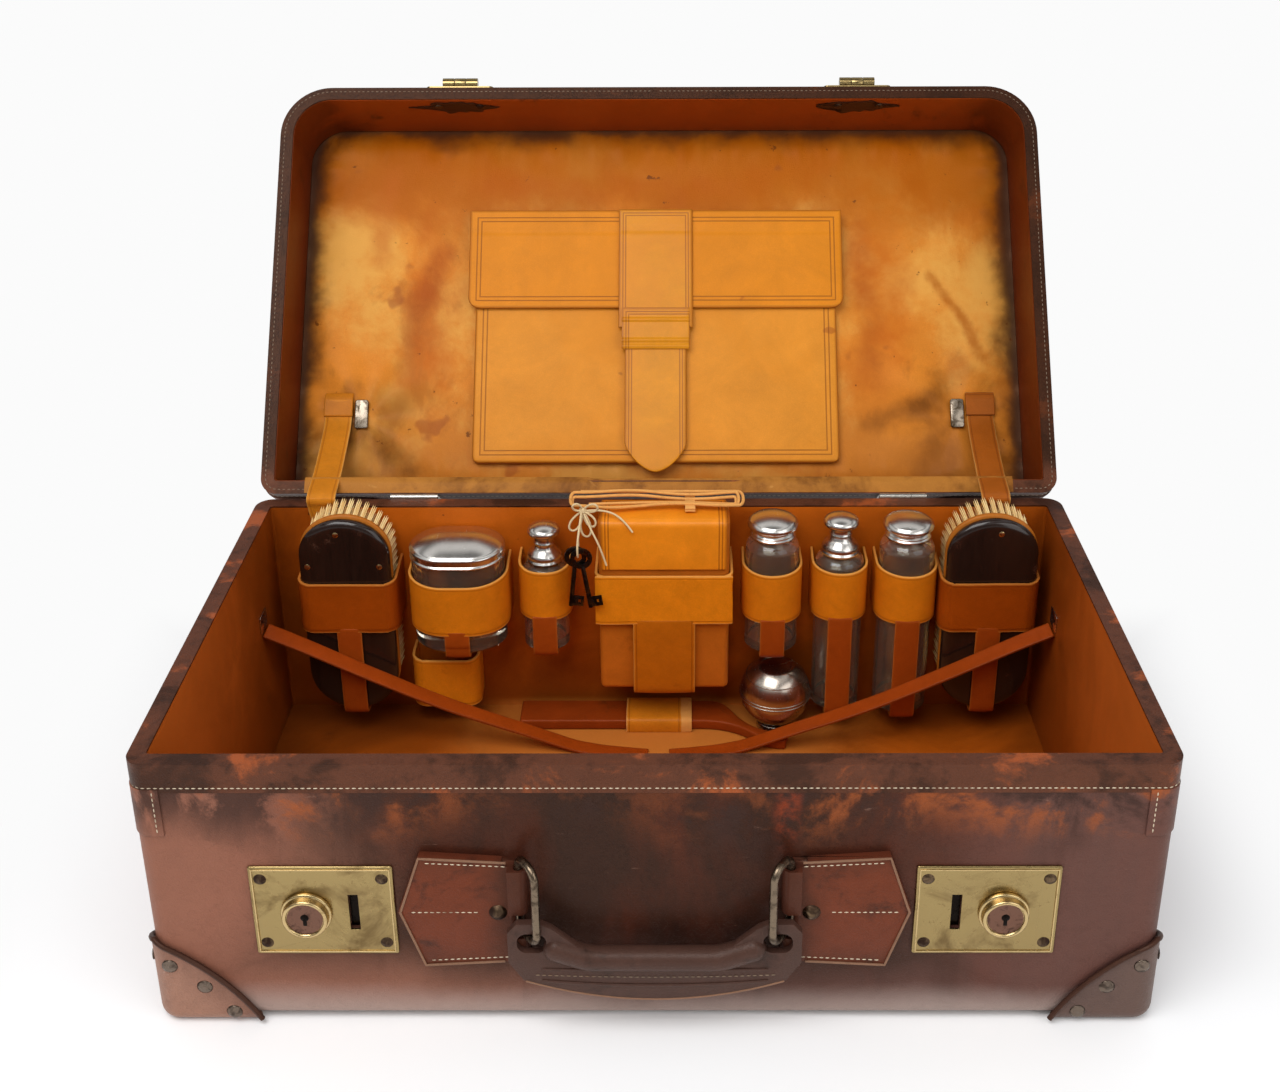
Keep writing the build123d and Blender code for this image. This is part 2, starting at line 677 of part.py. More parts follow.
# ---------------------------------------------------------------- jar and bottles
def ellipse_prism(x, y, w, d, z0, z1):
    return prism(Pos(x, y) * Ellipse(w / 2, d / 2), z0, z1)


def jar_y():
    return wall_y - loop_fit - jar_depth / 2 - jar_lid_over


def jar_glass():
    z1 = jar_bottom + jar_glass_h
    body = ellipse_prism(jar_x, jar_y(), jar_w, jar_depth, jar_bottom, z1)
    body = fillet(body.faces().sort_by(Axis.Z)[0].edges(), 3)
    neck = ellipse_prism(jar_x, jar_y(), jar_w - 6, jar_depth - 6, z1 - 1, z1 + 9)
    hollow = ellipse_prism(jar_x, jar_y(), jar_w - 6 - 2 * jar_wall, jar_depth - 6 - 2 * jar_wall,
                           jar_bottom + 9, z1 + 10)
    return body + neck - hollow


def jar_lid():
    z0 = jar_bottom + jar_glass_h + fit
    lid = ellipse_prism(jar_x, jar_y(), jar_w + 2 * jar_lid_over, jar_depth + 2 * jar_lid_over, z0, z0 + jar_lid_h)
    lid = fillet(lid.faces().sort_by(Axis.Z)[-1].edges(), 8)
    bore = ellipse_prism(jar_x, jar_y(), jar_w - 6 + 2 * fit, jar_depth - 6 + 2 * fit, z0 - 1, z0 + 11)
    return lid - bore


def bottle_y(d):
    return wall_y - loop_fit - d / 2


def bottle_glass(x, d, z0, z1, neck_d, neck_h):
    """Turned glass: thick foot, straight body, round shoulder and a bored neck."""
    r = d / 2
    n = neck_d / 2
    i = r - glass_t
    b = n - 2.0
    z_neck = z1 - neck_h
    sh = r - n
    prof = Polyline((0, z0), (r - 2, z0), (r, z0 + 2), (r, z_neck - sh))
    shoulder = RadiusArc((r, z_neck - sh), (n, z_neck), -sh * 1.001)
    neck = Polyline((n, z_neck), (n, z1), (b, z1), (b, z_neck + 1), (i, z_neck - sh), (i, z0 + glass_foot_t + 2),
                    (i - 2, z0 + glass_foot_t), (0, z0 + glass_foot_t), (0, z0))
    return Pos(x, bottle_y(d), 0) * revolve(Plane.XZ * make_face(prof + shoulder + neck), Axis.Z)


def cap_of(x, d, rows, bore_d, bore_h, z0):
    """Turned silver cap from (radius, height) rows above z0, bored from below for the neck."""
    pts = [(0, z0)] + [(r, z0 + h) for r, h in rows] + [(0, z0 + rows[-1][1]), (0, z0)]
    cap = revolve(Plane.XZ * make_face(Polyline(*pts)), Axis.Z)
    cap -= Pos(0, 0, z0 + bore_h / 2) * Cylinder(bore_d / 2, bore_h)
    return Pos(x, bottle_y(d), 0) * cap


bottle_neck_d = 19.0
bottle_neck_h = 9.0


def mushroom_rows(r, h):
    """Stepped collar under a broad, softly domed top."""
    rows = [(r * 0.78, 0.0), (r * 0.78, h * 0.2), (r * 0.94, h * 0.26), (r * 0.94, h * 0.36),
            (r * 0.82, h * 0.42), (r * 0.82, h * 0.5), (r, h * 0.58), (r, h * 0.76)]
    for k in range(1, 6):
        a = k * 15
        rows.append((r * (0.35 + 0.65 * cos(radians(a))), h * (0.76 + 0.24 * sin(radians(a)))))
    return rows


def tier_rows(r, h):
    """Waisted cap: domed collar, narrow neck and a flat button on top."""
    return [(r, 0.0), (r, h * 0.1), (r * 0.93, h * 0.2), (r * 0.66, h * 0.34), (r * 0.5, h * 0.42),
            (r * 0.5, h * 0.56), (r * 0.78, h * 0.64), (r * 0.84, h * 0.72), (r * 0.84, h * 0.84),
            (r * 0.74, h * 0.93), (r * 0.45, h)]


def bottle(x, d, z0, z1, cap_h, cap_r, rows_of):
    z_neck = z1 - cap_h
    neck_d = bottle_neck_d if d > 33 else bottle_neck_d - 3
    glass = bottle_glass(x, d, z0, z_neck + bottle_neck_h, neck_d, bottle_neck_h)
    cap = cap_of(x, d, rows_of(cap_r, cap_h - fit), neck_d + 2 * fit, bottle_neck_h + fit, z_neck + fit)
    return glass, cap


# ---------------------------------------------------------------- wallet, ball, sleeve
def wallet_y():
    return wall_y - loop_fit - wallet_t / 2


def wallet_body():
    top = wallet_top - wallet_flap_t - 0.2
    body = Pos(wallet_x, wallet_y(), (wallet_bottom + top) / 2) * Box(wallet_w, wallet_t, top - wallet_bottom)
    return fillet(body.edges().filter_by(Axis.Z) + body.faces().sort_by(Axis.Z)[0].edges(), 4)


def wallet_flap():
    """Flap folded over the top edge and down the front, tucked behind the loop."""
    y0 = wallet_y() - wallet_t / 2
    y1 = wallet_y() + wallet_t / 2
    z1 = wallet_top
    w = wallet_w - 4
    over = block(wallet_x - w / 2, wallet_x + w / 2, y0 - wallet_flap_t - 0.2, y1 - 2, z1 - wallet_flap_t, z1)
    front = block(wallet_x - w / 2, wallet_x + w / 2, y0 - wallet_flap_t - 0.2, y0 - 0.2,
                  loop_z + loop_h + 1, z1)
    flap = over + front
    edge = flap.edges().filter_by(Axis.X).sort_by(lambda e: e.center().Y - e.center().Z)[0]
    return fillet(edge, 2.2)


def ball_y():
    return wall_y - 0.5 - ball_d / 2


def silver_ball():
    z = floor_z + ball_foot_h + ball_d / 2 - 1.5
    ball = Sphere(ball_d / 2)
    seam = Cylinder(ball_d / 2 + 0.5, 2.4)
    foot = Pos(0, 0, floor_z - z + ball_foot_h / 2 + 0.15) * Cylinder(ball_foot_d / 2, ball_foot_h)
    return Pos(ball_x, ball_y(), z) * (ball + seam + foot)


def leather_sleeve():
    """Stitched sheath lying on the floor: square end, and a tail that curves out in front of the ball."""
    y = wall_y - 6 - sleeve_w
    x0 = sleeve_x - sleeve_l / 2
    x1 = sleeve_x + sleeve_l / 2
    near = ball_y() - ball_foot_d / 2 - 4
    line = Polyline((x0, y), (x0, y + sleeve_w), (sleeve_x + 38, y + sleeve_w))
    tail = Spline((sleeve_x + 38, y + sleeve_w), (ball_x - 26, ball_y() - 1), (ball_x - 8, near), (x1, near - 3),
                  tangents=[(1, 0), (1, -0.1)])
    tip = Line((x1, near - 3), (x1 - 3, near - 14))
    front = Spline((x1 - 3, near - 14), (ball_x - 22, y - 10), (sleeve_x + 34, y), tangents=[(-1, 0), (-1, 0)])
    close = Line((sleeve_x + 34, y), (x0, y))
    body = extrude(Plane.XY.offset(floor_z + fit) * make_face(line + tail + tip + front + close), sleeve_t)
    return body


def floor_loop():
    y1 = wall_y - 6 + 1
    y0 = y1 - sleeve_w - 2
    z1 = floor_z + 0.3 + sleeve_t + 0.4
    arch = block(-floor_loop_w / 2, floor_loop_w / 2, y0 - loop_t, y1 + loop_t, floor_z, z1 + loop_t)
    arch = fillet(arch.faces().sort_by(Axis.Z)[-1].edges().filter_by(Axis.X), 3)
    inner = block(-floor_loop_w, floor_loop_w, y0, y1, floor_z - 1, z1)
    return arch - inner


# ---------------------------------------------------------------- lid, drawn shut
def lid_cavity(inset):
    return plan(case_w - 2 * inset, case_d - 2 * inset, max(corner_r - inset, 2.0), lid_front_r - inset)


def lid_shell():
    return lid_body() - prism(lid_cavity(wall_t), lid_z0 - 1, lid_z1 - lid_top_t)


def lid_rim_band():
    outline = plan(case_w + 2 * band_t, case_d + 2 * band_t, corner_r + band_t, lid_front_r + band_t)
    band = prism(outline, lid_z0, lid_z0 + lid_band_h)
    band -= prism(plan(case_w, case_d, corner_r, lid_front_r), lid_z0 + band_t, lid_z1)
    return band - prism(lid_cavity(wall_t), lid_z0 - 1, lid_z0 + lid_band_h + 1)


def lid_lining():
    """Padded panel inside the lid's top: full size at the board, drawn in to a raised face."""
    z1 = lid_z1 - lid_top_t
    border = prism(lid_cavity(wall_t + 0.3), z1 - pad_edge_t, z1)
    low = Plane.XY.offset(z1 - pad_edge_t) * lid_cavity(wall_t + 3)
    high = Plane.XY.offset(pad_face) * lid_cavity(wall_t + 3 + pad_ramp)
    crown = loft([low, high], ruled=True)
    return border + crown


def at_lid(y_from_hinge):
    return back_y - y_from_hinge


def folder_body():
    y0 = at_lid(folder_y1)
    y1 = at_lid(folder_y0)
    body = block(folder_x - folder_w / 2, folder_x + folder_w / 2, y0, y1, pad_face - folder_t, pad_face)
    return fillet(body.edges().filter_by(Axis.Z), 4)


def folder_flap():
    y0 = at_lid(folder_y1)
    z1 = pad_face - folder_t - flap_gap
    flap = block(folder_x - flap_w / 2, folder_x + flap_w / 2, y0, y0 + flap_h, z1 - flap_t, z1)
    return fillet(flap.edges().filter_by(Axis.Z).sort_by(Axis.Y)[-2:], 8)


def folder_strap():
    """Strap down the middle of the flap: keeper band below the flap's edge, then the tongue."""
    y0 = at_lid(folder_y1)
    z1 = pad_face - folder_t - flap_gap
    top = z1 - flap_t
    upper = block(folder_x - strap_w / 2 - 2, folder_x + strap_w / 2 + 2, y0, y0 + flap_h + keeper_h / 2,
                  top - strap_t, top)
    y_tip = at_lid(folder_y0) + 8
    w = strap_w / 2 - 3
    sides = Polyline((folder_x - w, y0 + flap_h - 2), (folder_x + w, y0 + flap_h - 2), (folder_x + w, y_tip - 22))
    nose = ThreePointArc((folder_x + w, y_tip - 22), (folder_x, y_tip), (folder_x - w, y_tip - 22))
    shut = Line((folder_x - w, y_tip - 22), (folder_x - w, y0 + flap_h - 2))
    tongue = extrude(Plane.XY.offset(top - strap_t) * make_face(sides + nose + shut), strap_t)
    keeper = block(folder_x - w - 2, folder_x + w + 2, y0 + flap_h + 1, y0 + flap_h + keeper_h,
                   top - strap_t - 1.6, top)
    return upper + tongue + keeper


def hinge_pair(up):
    leaf = hinge_leaf(up)
    both = [leaf, mirror_x(leaf)]
    return [opened(s) for s in both] if up > 0 else both


def stay_anchor(sx):
    """Small metal bail plate on the lid's lining beside the stay's folded end."""
    x = sx * (stay_x + 2 - stay_w / 2 - 5)
    y = at_lid(stay_lid_y)
    plate = block(x - 5, x + 5, y, y + 22, pad_face - 2.4, pad_face)
    return opened(fillet(plate.edges().filter_by(Axis.Z), 2))


def stay(sx):
    """Leather stay from the lid's lining, over the back rim, to the inside of the back wall."""
    across = (1, 0, 0)
    turn = radians(open_angle)
    y = stay_lid_y
    dy = at_lid(y) - hinge_y
    dz = pad_face - stay_t - 0.6 - hinge_z
    top = (sx * (stay_x + 4), hinge_y + dy * cos(turn) + dz * sin(turn), hinge_z - dy * sin(turn) + dz * cos(turn))
    clear = rim_z + stay_t + 3.0
    over = (sx * (stay_x - 2), wall_y - stay_t / 2 - 0.6, clear)
    low = (sx * (stay_x - 4), wall_y - stay_t / 2, rim_z - 4)
    end = (sx * (stay_x - 4), wall_y - stay_t / 2, rim_z - stay_drop)
    d0 = (Vector(*over) - Vector(*top)).normalized()
    down = Vector(0, 0, -1)
    return strap([(top, across, d0), (over, across, (d0 + down).normalized()), (low, across, down),
                  (end, across, down)], stay_w, stay_t)


def packing_strap(sx):
    """Strap hanging from the side wall and lying out over the floor."""
    start = Vector(sx * (in_x - 1.4), packing_anchor_y, packing_anchor_z)
    y = packing_anchor_y - packing_lead
    land = Vector(sx * packing_land_x, y, floor_z + 2 * packing_t)
    rest = Vector(sx * packing_rest_x, y - packing_step, floor_z + packing_t / 2 + 0.05)
    end = Vector(sx * packing_end_x, y - 2 * packing_step, floor_z + packing_t / 2 + 0.05)
    run = (land - start).normalized()
    flat = Vector(0, 1, 0)
    tilt = Vector(0, 0.62, 0.78)
    side = Vector(0, 1, 0.15)
    return strap([(start, side, run), (start * 0.85 + land * 0.15, tilt, run), (start * 0.2 + land * 0.8, tilt, run),
                  (land, Vector(0, 0.9, 0.35), run), (rest, flat, Vector(-sx, 0, 0)),
                  (end, flat, Vector(-sx, 0, 0))], packing_w, packing_t)


def packing_anchor(sx):
    x = sx * in_x
    plate = block(min(x, x - sx * 1.0), max(x, x - sx * 1.0), packing_anchor_y - 8, packing_anchor_y + 8,
                  packing_anchor_z + 2, packing_anchor_z + 14)
    return plate


# ---------------------------------------------------------------- lace hank, string and keys
def lace_route():
    """Flat hank: half turns of steadily growing radius joined by straight runs."""
    lines = []
    x0 = lace_x - lace_run / 2
    x1 = lace_x + lace_run / 2
    y = 0.0
    r = lace_pitch
    side = 1
    for k in range(2 * lace_turns - 1):
        a, b = (x0, x1) if side > 0 else (x1, x0)
        lines.append(Line((a, y, 0), (b, y, 0)))
        y2 = y + side * 2 * r
        lines.append(ThreePointArc((b, y, 0), (b + side * r, (y + y2) / 2, 0), (b, y2, 0)))
        y = y2
        r += lace_pitch / 2
        side = -side
    a, b = (x0, x1) if side > 0 else (x1, x0)
    lines.append(Line((a, y, 0), (b, y, 0)))
    return Wire(lines)


def least_gap(route, wire_d, samples):
    """Least distance between points of the route that lie more than one diameter apart along it."""
    pts = [route.position_at(i / samples) for i in range(samples + 1)]
    step = route.length / samples
    skip = int(2.2 * wire_d / step) + 1
    best = 1e9
    for i in range(0, samples, 2):
        for j in range(i + skip, samples + 1, 2):
            best = min(best, (pts[i] - pts[j]).length)
    return best - wire_d


lace_z = wallet_top + lace_d / 2 + lace_tie_t + fit
lace_y = wall_y - 18.0


def lace_hank():
    route = Pos(0, lace_y, lace_z) * lace_route()
    tube = sweep(Plane(route @ 0, z_dir=route % 0) * Circle(lace_d / 2), path=route)
    print("lace least gap", round(least_gap(lace_route(), lace_d, 900), 2))
    print("lace volume against section times length", round(tube.volume / (pi * lace_d ** 2 / 4 * route.length), 4))
    box = route.bounding_box()
    w = box.max.Y - box.min.Y + lace_d + 1.0
    y = (box.max.Y + box.min.Y) / 2
    tie = fillet(Box(7, w + 2 * lace_tie_t, lace_d + 2 * lace_tie_t).edges().filter_by(Axis.X), 0.8)
    return tube + Pos(lace_tie_x, y, lace_z) * tie


# middle of the string's loop through both bows
key_eye = Vector(wallet_x - key_left, wall_y - wallet_t - key_front, wallet_top - key_drop)
knot = Vector(wallet_x - knot_left, lace_y - 2 * lace_pitch - lace_d / 2 - string_knot_d / 2 - fit, lace_z)


def key(shift, near, turn):
    """Small steel key hanging by its ring bow."""
    bow = Cylinder(key_bow_d / 2, key_t) - Cylinder(key_bow_d / 2 - key_bow_bar, key_t + 2)
    shank = Pos(0, -(key_bow_d / 2 + (key_l - key_bow_d) / 2) + 1, 0) * Rot(90, 0, 0) * Cylinder(
        key_shank_d / 2, key_l - key_bow_d + 1)
    bit = Pos(4.5, -key_l + key_bow_d / 2 + 4.5, 0) * Box(8, 7, key_t - 0.4)
    bit -= Pos(5.5, -key_l + key_bow_d / 2 + 4.5, 0) * Box(1.6, 3, key_t + 2)
    drop = key_bow_d / 2 - key_bow_bar / 2
    return Pos(key_eye + Vector(shift, near, -key_sink)) * Rot(90, 0, 0) * Rot(0, 0, turn) * Pos(0, -drop, 0) * (
        bow + shank + bit)


def tube(points, d, radius):
    path = FilletPolyline(*points, radius=radius) if len(points) > 2 else Line(*points)
    piece = sweep(Plane(path @ 0, z_dir=path % 0) * Circle(d / 2), path=path)
    print("string bend radius", radius, "volume against section times length",
          round(piece.volume / (pi * d ** 2 / 4 * path.length), 4))
    return piece


def from_knot(points, radius):
    """Strand that starts inside the knot, towards its first point."""
    start = knot + (points[0] - knot).normalized() * string_knot_d * 0.34
    return tube([start] + points, string_d, radius)


def string():
    """Loop through the keys' bows, a knot on the lace, and two loose ends."""
    loop = Pos(key_eye) * Rot(0, 90, 0) * Torus(string_loop_r, string_d / 2)
    tie = Pos(knot) * Rot(0, 0, 90) * Sphere(string_knot_d / 2)
    top = key_eye + Vector(0, 0, string_loop_r)
    small = Pos(top) * Sphere(string_d * 1.2)
    hang = from_knot([top], 0)
    left = from_knot([knot + Vector(5, -9, -8), knot + Vector(12, -14, -20), knot + Vector(16, -14.5, -34)],
                     string_bend_r)
    right = from_knot([knot + Vector(13, -3, 3), knot + Vector(27, -9, 0), knot + Vector(34, -12, -10)],
                      string_bend_r)
    body = tie + hang + small
    for strand in (left, right, loop):
        body = body + strand
    return body


def pieces():
    glass1, cap1 = bottle(short_x, short_d, short_bottom, short_top, 34, 12.5, tier_rows)
    glass2, cap2 = bottle(two_x, two_d, two_bottom, bottle_top, 20, 17.5, mushroom_rows)
    glass3, cap3 = bottle(three_x, three_d, tall_bottom, bottle_top, 34, 13.5, tier_rows)
    glass4, cap4 = bottle(four_x, four_d, tall_bottom, bottle_top - 1, 19, 17.5, mushroom_rows)
    both = (-1, 1)
    plate, nozzle, ring, fold = lock_plate(), lock_nozzle(), handle_ring(), chape()
    rivets = lock_rivets() + [chape_stud()]
    hplate, hleaf = hasp_plate(), hasp()
    return {
        "base_shell": base_shell(),
        "base_rim_band": base_rim_band(),
        "base_lining": base_lining(),
        "base_corner_patches": base_corner_patches(),
        "base_rivets": corner_rivets(patch_reach, (0.16, 0.5, 0.84), 0, 1),
        "lock_plates": [plate, mirror_x(plate)],
        "brass_rivets": rivets + [mirror_x(r) for r in rivets],
        "lock_nozzle_right": nozzle,
        "lock_nozzle_left": mirror_x(nozzle),
        "handle_chapes": [fold, mirror_x(fold)],
        "handle_ring_right": ring,
        "handle_ring_left": mirror_x(ring),
        "handle_grip": handle_grip(),
        "hinge_base_leaves": hinge_pair(-1),
        "hinge_lid_leaves": hinge_pair(1),
        "packing_straps": [packing_strap(s) for s in both],
        "strap_anchors": [packing_anchor(s) for s in both],
        "brush_loops": [held(x, brush_w, brush_depth, brush_top - brush_l, loop_z - 5, loop_h, 17,
                             brush_edge_r + loop_fit)
                        for x in (brush_left_x, brush_right_x)],
        "jar_loop": [held(jar_x, jar_w, jar_depth + jar_lid_over, jar_bottom, loop_z - 2, loop_h, 17, 24)],
        "bottle_loops": [held(short_x, short_d, short_d, short_bottom), held(two_x, two_d, two_d, two_bottom),
                         held(three_x, three_d, three_d, tall_bottom), held(four_x, four_d, four_d, tall_bottom)],
        "wallet_loop": [held(wallet_x, wallet_w, wallet_t + wallet_flap_t, wallet_bottom, loop_z, loop_h, 43, 5)],
        "spare_loop": [loop_band(spare_x, spare_w / 2, spare_depth, spare_z, loop_h, 8)],
        "floor_loop": floor_loop(),
        "stays": [stay(s) for s in both],
        "lid_shell": opened(lid_shell()),
        "lid_rim_band": opened(lid_rim_band()),
        "lid_lining": opened(lid_lining()),
        "lid_corner_patches": lid_corner_patches(),
        "lid_rivets": [opened(r) for r in lid_rivets()],
        "folder_body": opened(folder_body()),
        "folder_flap": opened(folder_flap()),
        "folder_strap": opened(folder_strap()),
        "stay_anchors": [stay_anchor(s) for s in both],
        "hasp_plates": [opened(hplate), opened(mirror_x(hplate))],
        "hasp_right": opened(hleaf),
        "hasp_left": opened(mirror_x(hleaf)),
        "brush_left_back": brush_back(brush_left_x),
        "brush_right_back": brush_back(brush_right_x),
        "brush_left_bristles": brush_bristles(brush_left_x),
        "brush_right_bristles": brush_bristles(brush_right_x),
        "jar_glass": jar_glass(),
        "jar_lid": jar_lid(),
        "bottle_short_glass": glass1,
        "bottle_short_cap": cap1,
        "bottle_two_glass": glass2,
        "bottle_two_cap": cap2,
        "bottle_three_glass": glass3,
        "bottle_three_cap": cap3,
        "bottle_four_glass": glass4,
        "bottle_four_cap": cap4,
        "wallet_body": wallet_body(),
        "wallet_flap": wallet_flap(),
        "silver_ball": silver_ball(),
        "leather_sleeve": leather_sleeve(),
        "lace_hank": lace_hank(),
        "keys": [key(-1.2, 1.35, -6), key(1.2, -1.35, 9)],
        "string": string(),
    }


os.makedirs("parts", exist_ok=True)
for name, shape in pieces().items():
    out(name, shape)
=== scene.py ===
import math
import random
import bpy
import bmesh
import numpy as np
from mathutils import Matrix, Vector, noise


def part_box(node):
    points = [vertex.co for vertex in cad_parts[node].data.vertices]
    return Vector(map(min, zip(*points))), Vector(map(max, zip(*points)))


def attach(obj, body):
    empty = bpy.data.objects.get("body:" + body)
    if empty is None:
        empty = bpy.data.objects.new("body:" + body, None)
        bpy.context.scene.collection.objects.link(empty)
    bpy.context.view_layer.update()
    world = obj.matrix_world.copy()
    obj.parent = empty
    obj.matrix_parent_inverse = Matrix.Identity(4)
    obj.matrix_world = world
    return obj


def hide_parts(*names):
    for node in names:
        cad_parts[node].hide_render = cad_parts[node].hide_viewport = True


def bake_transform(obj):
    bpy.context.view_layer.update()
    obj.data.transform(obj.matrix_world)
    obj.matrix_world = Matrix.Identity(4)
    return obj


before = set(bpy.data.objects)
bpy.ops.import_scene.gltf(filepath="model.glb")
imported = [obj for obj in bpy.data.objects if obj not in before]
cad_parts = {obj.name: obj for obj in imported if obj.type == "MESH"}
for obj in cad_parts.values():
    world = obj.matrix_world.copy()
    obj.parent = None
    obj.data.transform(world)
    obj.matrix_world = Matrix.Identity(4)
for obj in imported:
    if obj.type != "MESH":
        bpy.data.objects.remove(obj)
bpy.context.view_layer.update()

# Antique fitted dressing case. Sizes below are in mm; the scene is in metres.
MM = 0.001

# ------------------------------------------------------------------ sizes shared with the case
case_w, case_d, rim_z = 560.0, 305.0, 176.0
wall_t, lining_t, floor_z = 8.0, 1.5, 11.5
corner_r, lid_front_r, band_t = 10.0, 36.0, 1.2
front_y, back_y = -case_d / 2, case_d / 2
wall_y = back_y - wall_t - lining_t
in_x = case_w / 2 - wall_t - lining_t
lid_z0 = rim_z + 0.4
lid_z1 = lid_z0 + 70.0
hinge_y, hinge_z, open_angle = back_y + 3.7, rim_z + 0.2, 126.0
pad_face = lid_z1 - 13.0
folder_x = -2.5
loop_z, loop_h = 104.0, 40.0


# ------------------------------------------------------------------ work helpers
def clear():
    bpy.ops.object.select_all(action="DESELECT")


def pick(ob):
    clear()
    ob.select_set(True)
    bpy.context.view_layer.objects.active = ob


def colour(text, alpha=1.0):
    """Linear colour from a hex sRGB value."""
    rgb = [int(text[i:i + 2], 16) / 255 for i in (0, 2, 4)]
    return [c / 12.92 if c <= 0.04045 else ((c + 0.055) / 1.055) ** 2.4 for c in rgb] + [alpha]


def opened(p):
    """A point of the shut lid, turned to the open rest position."""
    a = math.radians(-open_angle)
    y, z = p[1] - hinge_y, p[2] - hinge_z
    return (p[0], hinge_y + y * math.cos(a) - z * math.sin(a), hinge_z + y * math.sin(a) + z * math.cos(a))


def apply_all(ob):
    pick(ob)
    for m in list(ob.modifiers):
        bpy.ops.object.modifier_apply(modifier=m.name)


def modifier(ob, kind, **values):
    m = ob.modifiers.new(kind.title(), kind)
    for k, v in values.items():
        setattr(m, k, v)
    return m


def grid(name, nu, nv):
    """Flat grid whose points carry U along and V across, ready to be laid in place."""
    clear()
    bpy.ops.mesh.primitive_grid_add(x_subdivisions=nu, y_subdivisions=nv, size=2.0, calc_uvs=True)
    ob = bpy.context.object
    ob.name = ob.data.name = name
    return ob


def lay(ob, rule):
    """Moves each point of a grid to rule(u, v), u and v from 0 to 1, in mm."""
    for p in ob.data.vertices:
        q = rule((p.co.x + 1) / 2, (p.co.y + 1) / 2)
        p.co = Vector(q) * MM
    ob.data.update()


def real_uv(ob, width, height):
    """Scales the grid's UV map to metres."""
    for loop in ob.data.uv_layers.active.data:
        loop.uv = (loop.uv[0] * width * MM, loop.uv[1] * height * MM)


def smooth(ob, angle=35):
    pick(ob)
    bpy.ops.object.shade_smooth_by_angle(angle=math.radians(angle))


def done(ob, body, mat, nodes=(), angle=35):
    smooth(ob, angle)
    ob.data.materials.clear()
    ob.data.materials.append(mat)
    if body:
        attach(ob, body)
    if nodes:
        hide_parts(*nodes)
    return ob


def outward(ob):
    pick(ob)
    bpy.ops.object.mode_set(mode="EDIT")
    bpy.ops.mesh.select_all(action="SELECT")
    bpy.ops.mesh.normals_make_consistent(inside=False)
    bpy.ops.object.mode_set(mode="OBJECT")


def worked_copy(node, name, body, mat, bevel=0.4, segments=2, angle=30, reshape=None, stands=True, merge=True):
    """A rigid CAD solid with its edges rounded, standing for the node; reshape moves its points, in mm."""
    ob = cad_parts[node].copy()
    ob.data = ob.data.copy()
    ob.parent = None
    ob.matrix_world = Matrix.Identity(4)
    bpy.context.scene.collection.objects.link(ob)
    ob.name = ob.data.name = name
    pick(ob)
    bpy.ops.object.mode_set(mode="EDIT")
    bpy.ops.mesh.select_all(action="SELECT")
    bpy.ops.mesh.remove_doubles(threshold=0.00001)
    if merge:
        bpy.ops.mesh.dissolve_limited(angle_limit=math.radians(1.5))
    bpy.ops.object.mode_set(mode="OBJECT")
    if reshape:
        for p in ob.data.vertices:
            p.co = Vector(reshape(p.co / MM)) * MM
        ob.data.update()
    if bevel:
        modifier(ob, "BEVEL", width=bevel * MM, segments=segments, limit_method="ANGLE",
                 angle_limit=math.radians(angle), use_clamp_overlap=True)
        apply_all(ob)
    return done(ob, body, mat, (node,) if stands else (), angle=38)


def turned(name, at, axis, steps, body, mat, nodes=(), flat=0.0, around=64, angle=40, outline=None):
    """Turned piece: steps are (radius, height) from the axis; flat is half the straight run of an oval."""
    last = len(steps) - 1
    ob = grid(name, around, last)
    turn = Vector((0, 0, 1)).rotation_difference(Vector(axis).normalized())

    def rule(u, v):
        a = 2 * math.pi * u
        r, h = steps[min(int(round(v * last)), last)]
        if outline:
            r *= outline(a)
        x = r * math.cos(a)
        x += math.copysign(flat, x) if abs(math.cos(a)) > 1e-6 and r > 0 else 0.0
        return Vector(at) + turn @ Vector((x, r * math.sin(a), h))
    lay(ob, rule)
    pick(ob)
    bpy.ops.object.mode_set(mode="EDIT")
    bpy.ops.mesh.select_all(action="SELECT")
    bpy.ops.mesh.remove_doubles(threshold=0.00002)
    bpy.ops.object.mode_set(mode="OBJECT")
    outward(ob)
    return done(ob, body, mat, nodes, angle=angle)


def resample(points, count):
    """Evenly spaced points along a Catmull-Rom curve through the given ones."""
    pts = [Vector(p) for p in points]
    dense = []
    for i in range(len(pts) - 1):
        p0, p1, p2, p3 = pts[max(i - 1, 0)], pts[i], pts[i + 1], pts[min(i + 2, len(pts) - 1)]
        for k in range(24):
            t = k / 24
            dense.append(0.5 * ((2 * p1) + (p2 - p0) * t + (2 * p0 - 5 * p1 + 4 * p2 - p3) * t * t
                                + (3 * p1 - p0 - 3 * p2 + p3) * t ** 3))
    dense.append(pts[-1])
    run = [0.0]
    for a, b in zip(dense, dense[1:]):
        run.append(run[-1] + (b - a).length)
    out = []
    j = 0
    for k in range(count):
        s = run[-1] * k / (count - 1)
        while j < len(run) - 2 and run[j + 1] < s:
            j += 1
        t = (s - run[j]) / max(run[j + 1] - run[j], 1e-9)
        out.append(dense[j].lerp(dense[j + 1], min(max(t, 0), 1)))
    return out, run[-1]


